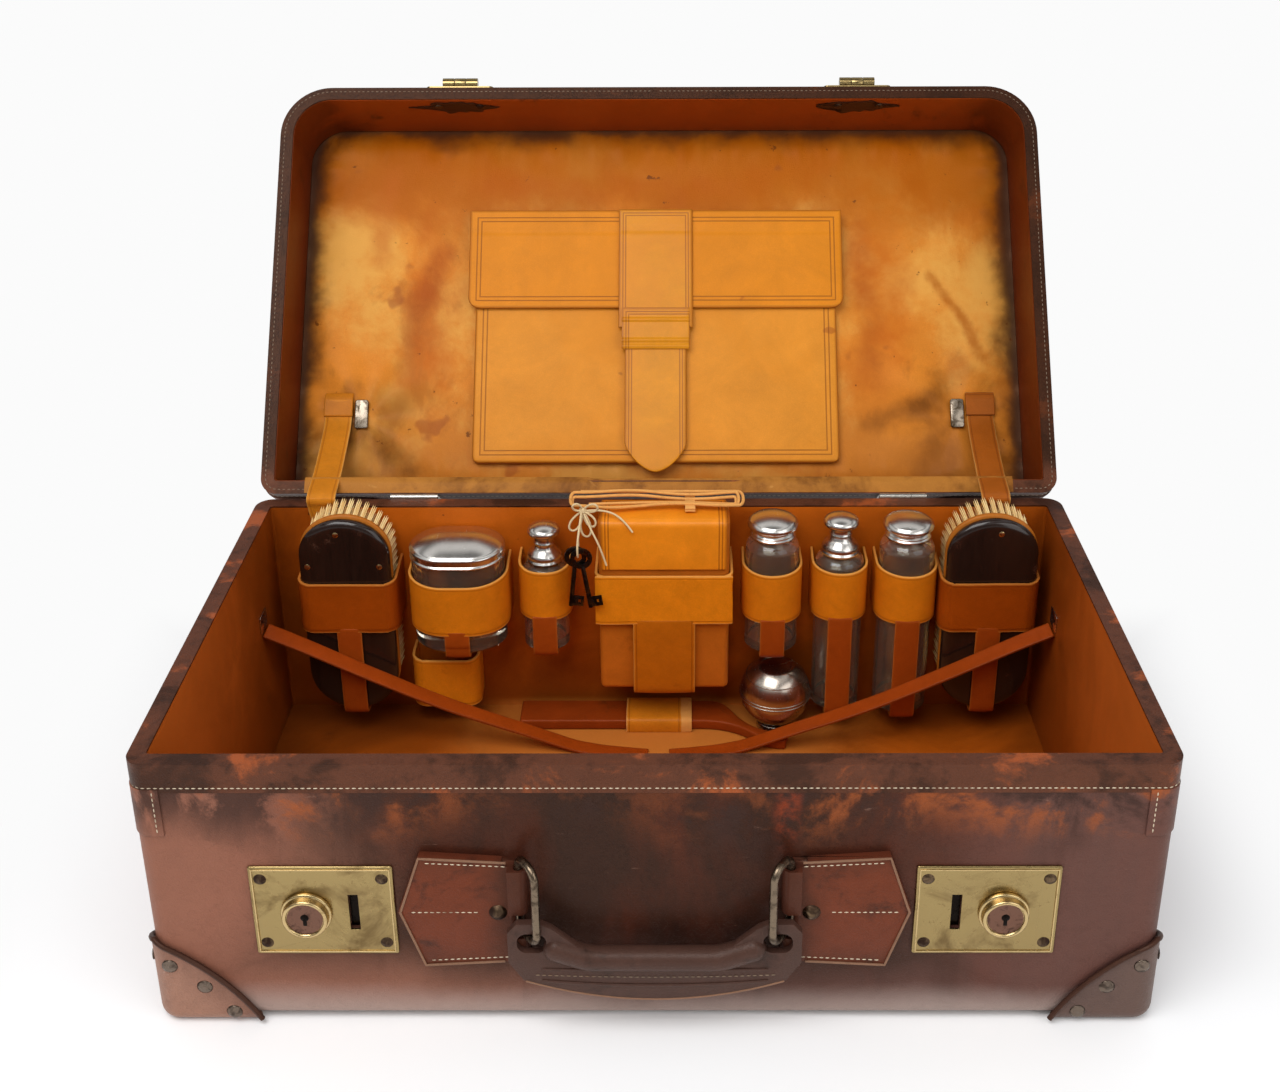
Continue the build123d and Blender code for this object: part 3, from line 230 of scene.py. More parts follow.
def strip(name, points, across, width, thick, body, mat, nodes=(), nu=40, nv=6, crown=0.0,
          taper=None, smooth_path=True, wave=0.0):
    """Leather strip laid along points; across is its width direction (one, or one for each end)."""
    if smooth_path:
        path, length = resample(points, nu + 1)
    else:
        path = [Vector(p) for p in points]
        nu = len(path) - 1
        length = sum((b - a).length for a, b in zip(path, path[1:]))
    ends = across if isinstance(across[0], (tuple, list)) else (across, across)
    a0, a1 = Vector(ends[0]).normalized(), Vector(ends[1]).normalized()
    ob = grid(name, nu, nv)

    def rule(u, v):
        i = min(int(round(u * nu)), nu)
        side = a0.lerp(a1, u).normalized()
        tangent = (path[min(i + 1, nu)] - path[max(i - 1, 0)]).normalized()
        side = (side - tangent * side.dot(tangent)).normalized()
        normal = tangent.cross(side)
        w = width * (taper(u) if taper else 1.0)
        k = 2 * v - 1
        lift = crown * (1 - k * k)
        lift += wave * noise.noise(Vector((u * length * 0.05, v * 1.3, len(name))))
        return path[i] + side * (k * w / 2) + normal * lift
    lay(ob, rule)
    real_uv(ob, length, width)
    modifier(ob, "SOLIDIFY", thickness=thick * MM, offset=0.0)
    modifier(ob, "BEVEL", width=min(thick * 0.28, 0.7) * MM, segments=2, limit_method="ANGLE",
             angle_limit=math.radians(50))
    apply_all(ob)
    outward(ob)
    return done(ob, body, mat, nodes, angle=50)


def joined(name, pieces):
    """Joins pieces into one, named after the whole."""
    clear()
    for ob in pieces:
        ob.select_set(True)
    bpy.context.view_layer.objects.active = pieces[0]
    bpy.ops.object.join()
    ob = bpy.context.object
    ob.name = ob.data.name = name
    return ob


def bead(segments=6, rings=4):
    clear()
    bpy.ops.mesh.primitive_uv_sphere_add(segments=segments, ring_count=rings, radius=0.5)
    ob = bpy.context.object
    points = np.array([v.co[:] for v in ob.data.vertices])
    faces = [tuple(p.vertices) for p in ob.data.polygons]
    bpy.data.objects.remove(ob)
    return points, faces


def many(name, points, faces, frames, body, mat, nodes=()):
    """One mesh of many copies of a small shape, each placed by its own 3x4 frame in mm."""
    verts, polys = [], []
    for f in frames:
        base = len(verts)
        verts.extend((points @ f[:, :3].T + f[:, 3]) * MM)
        polys.extend(tuple(base + i for i in face) for face in faces)
    mesh = bpy.data.meshes.new(name)
    mesh.from_pydata([tuple(v) for v in verts], [], polys)
    ob = bpy.data.objects.new(name, mesh)
    bpy.context.scene.collection.objects.link(ob)
    return done(ob, body, mat, nodes, angle=60)


def stitch_frames(line, normal, pitch=3.4, length=2.5, wide=0.75, closed=False, turn=0.0):
    """Frames of the stitches along a line of points, lying on a face with that normal."""
    pts = [Vector(p) for p in line] + ([Vector(line[0])] if closed else [])
    run = [0.0]
    for a, b in zip(pts, pts[1:]):
        run.append(run[-1] + (b - a).length)
    frames, s, j = [], pitch / 2, 0
    while s < run[-1]:
        while run[j + 1] < s:
            j += 1
        t = (pts[j + 1] - pts[j]).normalized()
        n = Vector(normal).normalized() if not callable(normal) else normal(pts[j])
        side = n.cross(t).normalized()
        t = (t + side * (turn + random.uniform(-0.05, 0.05))).normalized()
        side = n.cross(t).normalized()
        p = pts[j].lerp(pts[j + 1], (s - run[j]) / (run[j + 1] - run[j]))
        frames.append(np.column_stack([t * length, side * wide, n * wide * 0.8, p]))
        s += pitch
    return frames


# ------------------------------------------------------------------ shader helpers
class Nodes:
    """Short hand for wiring nodes in one tree."""

    def __init__(self, tree):
        self.tree = tree

    def add(self, kind, outlet=0, **values):
        n = self.tree.nodes.new(kind)
        for k, v in values.items():
            if k in ("operation", "blend_type", "data_type", "feature", "distance", "noise_dimensions",
                     "interpolation_type", "wave_type", "bands_direction", "clamp", "node_tree",
                     "noise_type", "voronoi_dimensions", "wave_profile"):
                setattr(n, k, v)
        for k, v in values.items():
            key = {"a": 0, "b": 1, "c": 2}.get(k, k.replace("_", " ").title() if isinstance(k, str) else k)
            if isinstance(key, int) or key in n.inputs:
                self.feed(n.inputs[key], v)
        return n.outputs[outlet] if not isinstance(outlet, str) else n.outputs[outlet]

    def feed(self, socket, value):
        if isinstance(value, bpy.types.NodeSocket):
            self.tree.links.new(value, socket)
        else:
            socket.default_value = value

    def math(self, operation, a, b=0.0, c=0.0, clamp=False):
        n = self.tree.nodes.new("ShaderNodeMath")
        n.operation, n.use_clamp = operation, clamp
        for socket, value in zip(n.inputs, (a, b, c)):
            self.feed(socket, value)
        return n.outputs[0]

    def mix(self, fac, a, b):
        n = self.tree.nodes.new("ShaderNodeMix")
        n.data_type = "RGBA"
        self.feed(n.inputs["Factor"], fac)
        self.feed(n.inputs[6], a)
        self.feed(n.inputs[7], b)
        return n.outputs[2]

    def step(self, value, low, high):
        """Smooth 0 to 1 as value goes from low to high."""
        n = self.tree.nodes.new("ShaderNodeMapRange")
        n.interpolation_type = "SMOOTHSTEP"
        self.feed(n.inputs["Value"], value)
        self.feed(n.inputs["From Min"], low)
        self.feed(n.inputs["From Max"], high)
        return n.outputs[0]

    def noise(self, vector, scale, detail=4.0, rough=0.55, distort=0.0):
        return self.add("ShaderNodeTexNoise", Vector=vector, scale=scale, detail=detail,
                        roughness=rough, distortion=distort)

    def cells(self, vector, scale, feature="F1"):
        return self.add("ShaderNodeTexVoronoi", Vector=vector, scale=scale, feature=feature)

    def stretch(self, vector, sx, sy, sz):
        n = self.tree.nodes.new("ShaderNodeMapping")
        self.feed(n.inputs["Vector"], vector)
        n.inputs["Scale"].default_value = (sx, sy, sz)
        return n.outputs[0]

    def place(self):
        n = self.tree.nodes.new("ShaderNodeTexCoord")
        return n.outputs["Object"]

    def uv(self):
        n = self.tree.nodes.new("ShaderNodeUVMap")
        return n.outputs[0]

    def split(self, vector):
        n = self.tree.nodes.new("ShaderNodeSeparateXYZ")
        self.feed(n.inputs[0], vector)
        return n.outputs[0], n.outputs[1], n.outputs[2]

    def bump(self, height, strength, distance, normal=None):
        n = self.tree.nodes.new("ShaderNodeBump")
        n.inputs["Strength"].default_value = strength
        n.inputs["Distance"].default_value = distance
        self.feed(n.inputs["Height"], height)
        if normal is not None:
            self.feed(n.inputs["Normal"], normal)
        return n.outputs[0]


def group(name, inputs, outputs):
    tree = bpy.data.node_groups.new(name, "ShaderNodeTree")
    kinds = {"c": "NodeSocketColor", "f": "NodeSocketFloat", "v": "NodeSocketVector"}
    for label, kind in inputs:
        tree.interface.new_socket(name=label, in_out="INPUT", socket_type=kinds[kind])
    for label, kind in outputs:
        tree.interface.new_socket(name=label, in_out="OUTPUT", socket_type=kinds[kind])
    gi = tree.nodes.new("NodeGroupInput")
    go = tree.nodes.new("NodeGroupOutput")
    return tree, Nodes(tree), gi.outputs, go.inputs


def make_hide_group():
    """Old leather: body colour, dark stains, rubbed spots, grain and its height."""
    tree, n, i, o = group("old_hide", [("Hide", "c"), ("Dark", "c"), ("Rub", "c"), ("Dark Cover", "f"),
                                       ("Rub Cover", "f"), ("Patch", "f"), ("Grain", "f")],
                          [("Color", "c"), ("Roughness", "f"), ("Height", "f")])
    p = n.place()
    broad = n.noise(p, i["Patch"], 7.0, 0.62, 0.6)
    fine = n.noise(p, n.math("MULTIPLY", i["Patch"], 4.7), 6.0, 0.65, 0.3)
    low = n.math("SUBTRACT", 0.72, n.math("MULTIPLY", i["Dark Cover"], 0.42))
    dark = n.step(n.math("ADD", n.math("MULTIPLY", broad, 0.7), n.math("MULTIPLY", fine, 0.3)),
                  low, n.math("ADD", low, 0.16))
    spots = n.noise(n.stretch(p, 1.0, 1.0, 1.6), n.math("MULTIPLY", i["Patch"], 2.6), 9.0, 0.72, 1.2)
    top = n.math("SUBTRACT", 0.78, n.math("MULTIPLY", i["Rub Cover"], 0.4))
    rub = n.step(spots, top, n.math("ADD", top, 0.12))
    grain = n.cells(p, i["Grain"])
    pores = n.noise(p, n.math("MULTIPLY", i["Grain"], 1.7), 3.0, 0.6)
    creases = n.math("ABSOLUTE", n.math("SUBTRACT", n.noise(p, n.math("MULTIPLY", i["Grain"], 0.13), 5.0, 0.6,
                                                            1.5), 0.5))
    crease = n.math("SUBTRACT", 1.0, n.step(creases, 0.0, 0.02))
    tone = n.mix(dark, i["Hide"], i["Dark"])
    tone = n.mix(n.math("MULTIPLY", rub, 0.8), tone, i["Rub"])
    mottle = n.noise(p, n.math("MULTIPLY", i["Patch"], 1.9), 8.0, 0.7, 0.8)
    shade = n.math("ADD", n.math("MULTIPLY", fine, 0.3), n.math("MULTIPLY", grain, 0.12))
    shade = n.math("ADD", 0.56, n.math("ADD", shade, n.math("MULTIPLY", mottle, 0.46)))
    mul = tree.nodes.new("ShaderNodeMix")
    mul.data_type, mul.blend_type = "RGBA", "MULTIPLY"
    mul.inputs["Factor"].default_value = 1.0
    grey = tree.nodes.new("ShaderNodeCombineColor")
    for k in range(3):
        n.feed(grey.inputs[k], shade)
    n.feed(mul.inputs[6], tone)
    n.feed(mul.inputs[7], grey.outputs[0])
    n.feed(o["Color"], mul.outputs[2])
    rough = n.math("ADD", 0.36, n.math("MULTIPLY", rub, 0.22))
    rough = n.math("ADD", rough, n.math("MULTIPLY", fine, 0.18))
    n.feed(o["Roughness"], n.math("SUBTRACT", rough, n.math("MULTIPLY", dark, 0.08)))
    height = n.math("ADD", n.math("MULTIPLY", grain, 0.45), n.math("MULTIPLY", pores, 0.35))
    height = n.math("SUBTRACT", height, n.math("MULTIPLY", crease, 0.35))
    n.feed(o["Height"], n.math("SUBTRACT", height, n.math("MULTIPLY", rub, 0.25)))
    return tree


def make_metal_group():
    """Aged metal: clean colour, tarnish in patches, scratches."""
    tree, n, i, o = group("aged_metal", [("Clean", "c"), ("Tarnish", "c"), ("Amount", "f"), ("Patch", "f")],
                          [("Color", "c"), ("Roughness", "f"), ("Height", "f")])
    p = n.place()
    broad = n.noise(p, i["Patch"], 8.0, 0.66, 0.8)
    low = n.math("SUBTRACT", 0.75, n.math("MULTIPLY", i["Amount"], 0.5))
    mask = n.step(broad, low, n.math("ADD", low, 0.22))
    scratch = n.noise(n.stretch(p, 1.0, 0.12, 0.08), n.math("MULTIPLY", i["Patch"], 14.0), 4.0, 0.6, 0.4)
    speck = n.step(n.noise(p, n.math("MULTIPLY", i["Patch"], 9.0), 5.0, 0.7), 0.62, 0.7)
    mask = n.math("MAXIMUM", mask, n.math("MULTIPLY", speck, i["Amount"]))
    n.feed(o["Color"], n.mix(mask, i["Clean"], i["Tarnish"]))
    n.feed(o["Roughness"], n.math("ADD", n.math("ADD", 0.16, n.math("MULTIPLY", mask, 0.32)),
                                  n.math("MULTIPLY", scratch, 0.16)))
    n.feed(o["Height"], n.math("ADD", n.math("MULTIPLY", scratch, 0.4), n.math("MULTIPLY", mask, 0.5)))
    return tree


def make_edge_group():
    """Mask near the long edges of a strip, and stitches' dent lines, from its UV in metres."""
    tree, n, i, o = group("strip_edge", [("Width", "f"), ("Reach", "f")], [("Edge", "f"), ("Line", "f")])
    _, v, _ = n.split(n.uv())
    near = n.math("MINIMUM", v, n.math("SUBTRACT", i["Width"], v))
    wander = n.math("MULTIPLY", n.noise(n.place(), 60.0, 5.0, 0.6), i["Reach"])
    n.feed(o["Edge"], n.math("SUBTRACT", 1.0, n.step(near, n.math("MULTIPLY", wander, 0.5), n.math(
        "MULTIPLY", wander, 2.2))))
    line = n.math("ABSOLUTE", n.math("SUBTRACT", near, 0.0022))
    n.feed(o["Line"], n.math("SUBTRACT", 1.0, n.step(line, 0.0002, 0.0006)))
    return tree


def make_border_group():
    """Two tooled lines running round inside the edges of a sheet, from its UV in metres."""
    tree, n, i, o = group("tooled_border", [("Width", "f"), ("Height", "f"), ("Inset", "f"), ("Gap", "f")],
                          [("Lines", "f"), ("Edge", "f")])
    u, v, _ = n.split(n.uv())
    nu = n.math("MINIMUM", u, n.math("SUBTRACT", i["Width"], u))
    nv = n.math("MINIMUM", v, n.math("SUBTRACT", i["Height"], v))
    near = n.math("MINIMUM", nu, nv)
    first = n.math("ABSOLUTE", n.math("SUBTRACT", near, i["Inset"]))
    second = n.math("ABSOLUTE", n.math("SUBTRACT", near, n.math("ADD", i["Inset"], i["Gap"])))
    n.feed(o["Lines"], n.math("SUBTRACT", 1.0, n.step(n.math("MINIMUM", first, second), 0.0002, 0.0007)))
    n.feed(o["Edge"], n.math("SUBTRACT", 1.0, n.step(near, 0.0004, 0.0026)))
    return tree


def make_crease_group():
    """Soft wandering line between two places of a sheet's UV in metres."""
    tree, n, i, o = group("lining_crease", [("From U", "f"), ("From V", "f"), ("To U", "f"), ("To V", "f"),
                                            ("Width", "f")], [("Mask", "f")])
    u, v, _ = n.split(n.uv())
    p = n.place()
    wide = n.math("MULTIPLY", n.math("SUBTRACT", n.noise(p, 15.0, 6.0, 0.6, 0.3), 0.5), 0.035)
    deep = n.math("MULTIPLY", n.math("SUBTRACT", n.noise(n.stretch(p, 1.6, 1.0, 0.8), 19.0, 6.0, 0.6, 0.3), 0.5), 0.035)
    pu = n.math("SUBTRACT", n.math("ADD", u, wide), i["From U"])
    pv = n.math("SUBTRACT", n.math("ADD", v, deep), i["From V"])
    lu, lv = n.math("SUBTRACT", i["To U"], i["From U"]), n.math("SUBTRACT", i["To V"], i["From V"])
    along = n.math("DIVIDE", n.math("ADD", n.math("MULTIPLY", pu, lu), n.math("MULTIPLY", pv, lv)),
                   n.math("ADD", n.math("MULTIPLY", lu, lu), n.math("MULTIPLY", lv, lv)))
    along = n.math("MINIMUM", n.math("MAXIMUM", along, 0.0), 1.0)
    du, dv = n.math("SUBTRACT", pu, n.math("MULTIPLY", along, lu)), n.math("SUBTRACT", pv, n.math("MULTIPLY", along, lv))
    away = n.math("SQRT", n.math("ADD", n.math("MULTIPLY", du, du), n.math("MULTIPLY", dv, dv)))
    n.feed(o["Mask"], n.math("SUBTRACT", 1.0, n.step(n.math("DIVIDE", away, i["Width"]), 0.1, 1.0)))
    return tree


HIDE, METAL, EDGE, BORDER, CREASE = (make_hide_group(), make_metal_group(), make_edge_group(), make_border_group(),
                                     make_crease_group())


def material(name):
    m = bpy.data.materials.new(name)
    m.use_nodes = True
    tree = m.node_tree
    shader = tree.nodes["Principled BSDF"]
    return m, Nodes(tree), shader


def use(n, tree, **values):
    g = n.tree.nodes.new("ShaderNodeGroup")
    g.node_tree = tree
    for k, v in values.items():
        n.feed(g.inputs[k.replace("_", " ")], v)
    return g.outputs


def leather(name, hide, dark, rub, dark_cover, rub_cover, patch=14.0, grain=900.0, bump=0.5, coat=0.0,
            extra=None, spec=0.26, tint="ffb07a"):
    """Leather finish; extra(n, colour, roughness, height) may add local wear and lines."""
    m, n, s = material(name)
    g = use(n, HIDE, Hide=colour(hide), Dark=colour(dark), Rub=colour(rub), Dark_Cover=dark_cover,
            Rub_Cover=rub_cover, Patch=patch, Grain=grain)
    tone, rough, height = g["Color"], g["Roughness"], g["Height"]
    if extra:
        tone, rough, height = extra(n, tone, rough, height)
    n.feed(s.inputs["Base Color"], tone)
    n.feed(s.inputs["Roughness"], rough)
    n.feed(s.inputs["Normal"], n.bump(height, bump, 0.0006))
    s.inputs["Specular IOR Level"].default_value = spec
    s.inputs["Specular Tint"].default_value = colour(tint)
    s.inputs["Coat Weight"].default_value = coat
    s.inputs["Coat Tint"].default_value = colour("ffd8b0")
    s.inputs["Coat Roughness"].default_value = 0.28
    return m


def strip_leather(name, hide, dark, rub, width, edge, line=True, dark_cover=0.3, rub_cover=0.25, grain=1100.0,
                  patch=30.0, coat=0.12):
    """Strap finish with burnished edges and a creased line inside them."""
    def wear(n, tone, rough, height):
        e = use(n, EDGE, Width=width * MM, Reach=0.0011)
        tone = n.mix(n.math("MULTIPLY", e["Edge"], 0.75), tone, colour(edge))
        if line:
            tone = n.mix(n.math("MULTIPLY", e["Line"], 0.55), tone, colour(dark))
            height = n.math("SUBTRACT", height, n.math("MULTIPLY", e["Line"], 0.8))
        return tone, rough, height
    return leather(name, hide, dark, rub, dark_cover, rub_cover, patch, grain, 0.35, coat, wear)


def metal(name, clean, tarnish, amount, patch=60.0, bump=0.15):
    m, n, s = material(name)
    g = use(n, METAL, Clean=colour(clean), Tarnish=colour(tarnish), Amount=amount, Patch=patch)
    s.inputs["Metallic"].default_value = 1.0
    n.feed(s.inputs["Base Color"], g["Color"])
    n.feed(s.inputs["Roughness"], g["Roughness"])
    n.feed(s.inputs["Normal"], n.bump(g["Height"], bump, 0.0003))
    return m


# ------------------------------------------------------------------ finishes
def front_wear(n, tone, rough, height):
    """Case leather: dark middle, paler ends with the left one painted paler and pinker than the purplish right as
    painted light, rusty blots and dark runs under the rim.
    """
    p = n.place()
    x, _, z = n.split(p)
    cloud = n.noise(p, 7.0, 6.0, 0.6, 0.5)
    drift = n.math("SUBTRACT", cloud, 0.5)
    red = n.step(n.noise(n.stretch(p, 1.0, 1.0, 0.45), 8.0, 7.0, 0.62, 0.8), 0.46, 0.7)
    tone = n.mix(n.math("MULTIPLY", red, 0.42), tone, colour("5e2716"))
    side = n.math("ADD", n.math("ABSOLUTE", n.math("ADD", x, 0.01)), n.math("MULTIPLY", drift, 0.2))
    ends = n.step(side, 0.11, 0.27)
    # The left end is painted paler and pinker than the right: painted light from the left.
    left = n.step(n.math("MULTIPLY", x, -1.0), -0.05, 0.15)
    low = n.step(n.math("ADD", z, n.math("MULTIPLY", drift, 0.09)), 0.075, 0.008)
    pale = n.math("MAXIMUM", n.math("MULTIPLY", ends, 0.66), n.math("MULTIPLY", low, 0.6))
    tone = n.mix(pale, tone, n.mix(left, colour("6a4a44"), colour("a46e5a")))
    run = n.noise(n.stretch(p, 1.0, 1.0, 0.12), 34.0, 5.0, 0.6, 0.3)
    tone = n.mix(n.math("MULTIPLY", n.step(run, 0.52, 0.66), 0.28), tone, colour("2a1612"))
    foot = n.step(n.math("ADD", z, n.math("MULTIPLY", drift, 0.02)), 0.03, 0.006)
    tone = n.mix(n.math("MULTIPLY", foot, 0.7), tone, colour("a89a94"))
    under = n.step(n.math("ADD", z, n.math("MULTIPLY", drift, 0.1)), 0.122, 0.158)
    blots = n.noise(n.stretch(p, 1.0, 1.0, 0.8), 22.0, 10.0, 0.66, 0.3)
    away = n.math("ADD", 0.25, n.math("MULTIPLY", n.step(n.math("ABSOLUTE", n.math("ADD", x, 0.02)), 0.05, 0.14), 0.75))
    rust = n.math("MULTIPLY", n.math("MULTIPLY", under, away), n.step(blots, 0.49, 0.6))
    tone = n.mix(n.math("MULTIPLY", rust, 0.8), tone, colour("9a5026"))
    soot = n.math("MULTIPLY", under, n.step(blots, 0.5, 0.41))
    tone = n.mix(n.math("MULTIPLY", soot, 0.85), tone, colour("2a1d1c"))
    streak = n.step(n.math("ABSOLUTE", n.math("SUBTRACT", n.math("ADD", x, n.math("MULTIPLY", drift, 0.02)), 0.073)),
                    0.009, 0.002)
    streak = n.math("MULTIPLY", streak, n.step(n.math("ADD", z, n.math("MULTIPLY", drift, 0.05)), 0.115, 0.15))
    streak = n.math("MULTIPLY", streak, n.step(n.noise(p, 60.0, 8.0, 0.7), 0.36, 0.62))
    tone = n.mix(n.math("MULTIPLY", streak, 0.7), tone, colour("943a1a"))
    scuff = n.step(n.noise(n.stretch(p, 1.0, 1.0, 5.0), 46.0, 9.0, 0.75, 0.6), 0.64, 0.72)
    tone = n.mix(n.math("MULTIPLY", scuff, 0.3), tone, colour("b08a78"))
    return tone, n.math("ADD", rough, n.math("MULTIPLY", pale, 0.1)), height


def rim_wear(n, tone, rough, height):
    """Binding: near-black streaks with rust where the hide is worn through; its part on the lid is painted darker
    still, as painted shade.
    """
    p = n.place()
    blots = n.noise(n.stretch(p, 0.8, 1.0, 0.9), 24.0, 9.0, 0.66, 0.3)
    tone = n.mix(n.math("MULTIPLY", n.step(blots, 0.5, 0.38), 0.85), tone, colour("2c1a14"))
    tone = n.mix(n.math("MULTIPLY", n.step(blots, 0.55, 0.66), 0.75), tone, colour("a8552a"))
    streak = n.step(n.noise(n.stretch(p, 0.35, 1.0, 1.4), 90.0, 9.0, 0.75, 0.8), 0.58, 0.66)
    tone = n.mix(n.math("MULTIPLY", streak, 0.6), tone, colour("4a2c20"))
    _, _, z = n.split(p)
    # The binding's upper part, on the lid, is painted near black: painted shade.
    return n.mix(n.math("MULTIPLY", n.step(z, 0.186, 0.2), 0.8), tone, colour("1e0e08")), rough, height


def stains(n, tone, rough, height):
    """Lining: dark blots and small specks; painted shade in the corners and low at the back, painted light on the end
    walls towards the front and in the middle of the floor, and a dark stain at the left of the floor.
    """
    p = n.place()
    x, y, z = n.split(p)
    drift = n.math("SUBTRACT", n.noise(p, 9.0, 8.0, 0.68, 1.0), 0.5)
    blot = n.step(drift, 0.11, 0.2)
    # Painted shade: corner darkens towards the ends of the case, and back darkens the back low down.
    corner = n.step(n.math("ADD", n.math("ABSOLUTE", x), n.math("MULTIPLY", drift, 0.12)), 0.2, 0.275)
    deep = n.step(n.math("ADD", z, n.math("MULTIPLY", drift, 0.16)), 0.12, 0.02)
    back = n.math("MULTIPLY", n.step(n.math("ADD", y, n.math("MULTIPLY", drift, 0.12)), 0.06, 0.13), deep)
    # soot joins real dark blots with that painted shade.
    soot = n.math("MAXIMUM", n.math("MULTIPLY", blot, 0.6), n.math("MULTIPLY", n.math("MAXIMUM", corner, back), 0.62))
    tone = n.mix(soot, tone, colour("4a1c06"))
    speck = n.step(n.noise(p, 170.0, 4.0, 0.6), 0.72, 0.76)
    # Painted light on the end walls, brighter towards the front.
    wall = n.math("MULTIPLY", n.step(n.math("ABSOLUTE", x), 0.2655, 0.2685), n.step(z, 0.0, 0.12))
    lit = n.step(n.math("ADD", y, n.math("MULTIPLY", drift, 0.2)), 0.13, -0.1)
    tone = n.mix(n.math("MULTIPLY", n.math("MULTIPLY", wall, lit), 0.6), tone, colour("d4702a"))
    # Painted light in the middle of the floor; the left end of the floor gets a real dark stain.
    floor = n.step(z, 0.02, 0.01)
    wide = n.math("ADD", x, n.math("MULTIPLY", drift, 0.12))
    tone = n.mix(n.math("MULTIPLY", n.math("MULTIPLY", floor, n.step(n.math("ABSOLUTE", wide), 0.17, 0.07)), 0.8), tone,
                 colour("cc7c34"))
    tone = n.mix(n.math("MULTIPLY", n.math("MULTIPLY", floor, n.step(wide, -0.12, -0.19)), 0.5), tone, colour("5a2a0c"))
    return n.mix(n.math("MULTIPLY", speck, 0.7), tone, colour("2a1208")), rough, height


def board_stains_and_shade(n, tone, rough, height):
    """Facing of the lid's walls: painted shade towards its ends, and dark blots."""
    p = n.place()
    x, _, _ = n.split(p)
    drift = n.math("SUBTRACT", n.noise(p, 16.0, 8.0, 0.68, 1.0), 0.5)
    # Painted shade: darker towards the ends of the lid.
    corner = n.step(n.math("ADD", n.math("ABSOLUTE", x), n.math("MULTIPLY", drift, 0.14)), 0.215, 0.262)
    tone = n.mix(n.math("MULTIPLY", corner, 0.6), tone, colour("3a1408"))
    return n.mix(n.math("MULTIPLY", n.step(drift, 0.08, 0.16), 0.55), tone, colour("40180a")), rough, height


# Painted crease shading on the lid lining: each row is start u, start v, end u, end v, width, colour and strength of a
# darker line where the lining folds.
CREASES = (
    (0.088, 0.017, 0.146, 0.046, 0.020, "ac5606", 0.7), (0.146, 0.046, 0.305, 0.054, 0.017, "a85206", 0.7),
    (0.305, 0.054, 0.406, 0.025, 0.020, "ac5606", 0.7), (0.063, 0.042, 0.054, 0.105, 0.014, "b45c18", 0.6),
    (0.109, 0.105, 0.088, 0.142, 0.017, "9c440a", 0.8), (0.088, 0.142, 0.079, 0.192, 0.015, "8e4a14", 0.6),
    (0.481, 0.121, 0.519, 0.184, 0.008, "a4560e", 0.8), (0.425, 0.090, 0.432, 0.200, 0.016, "9c4a14", 0.55),
    (0.040, 0.209, 0.046, 0.243, 0.014, "42240e", 0.85), (0.046, 0.243, 0.088, 0.272, 0.014, "54300f", 0.7),
    (0.502, 0.192, 0.464, 0.226, 0.015, "5e3412", 0.75), (0.464, 0.226, 0.431, 0.236, 0.014, "5e3412", 0.6))


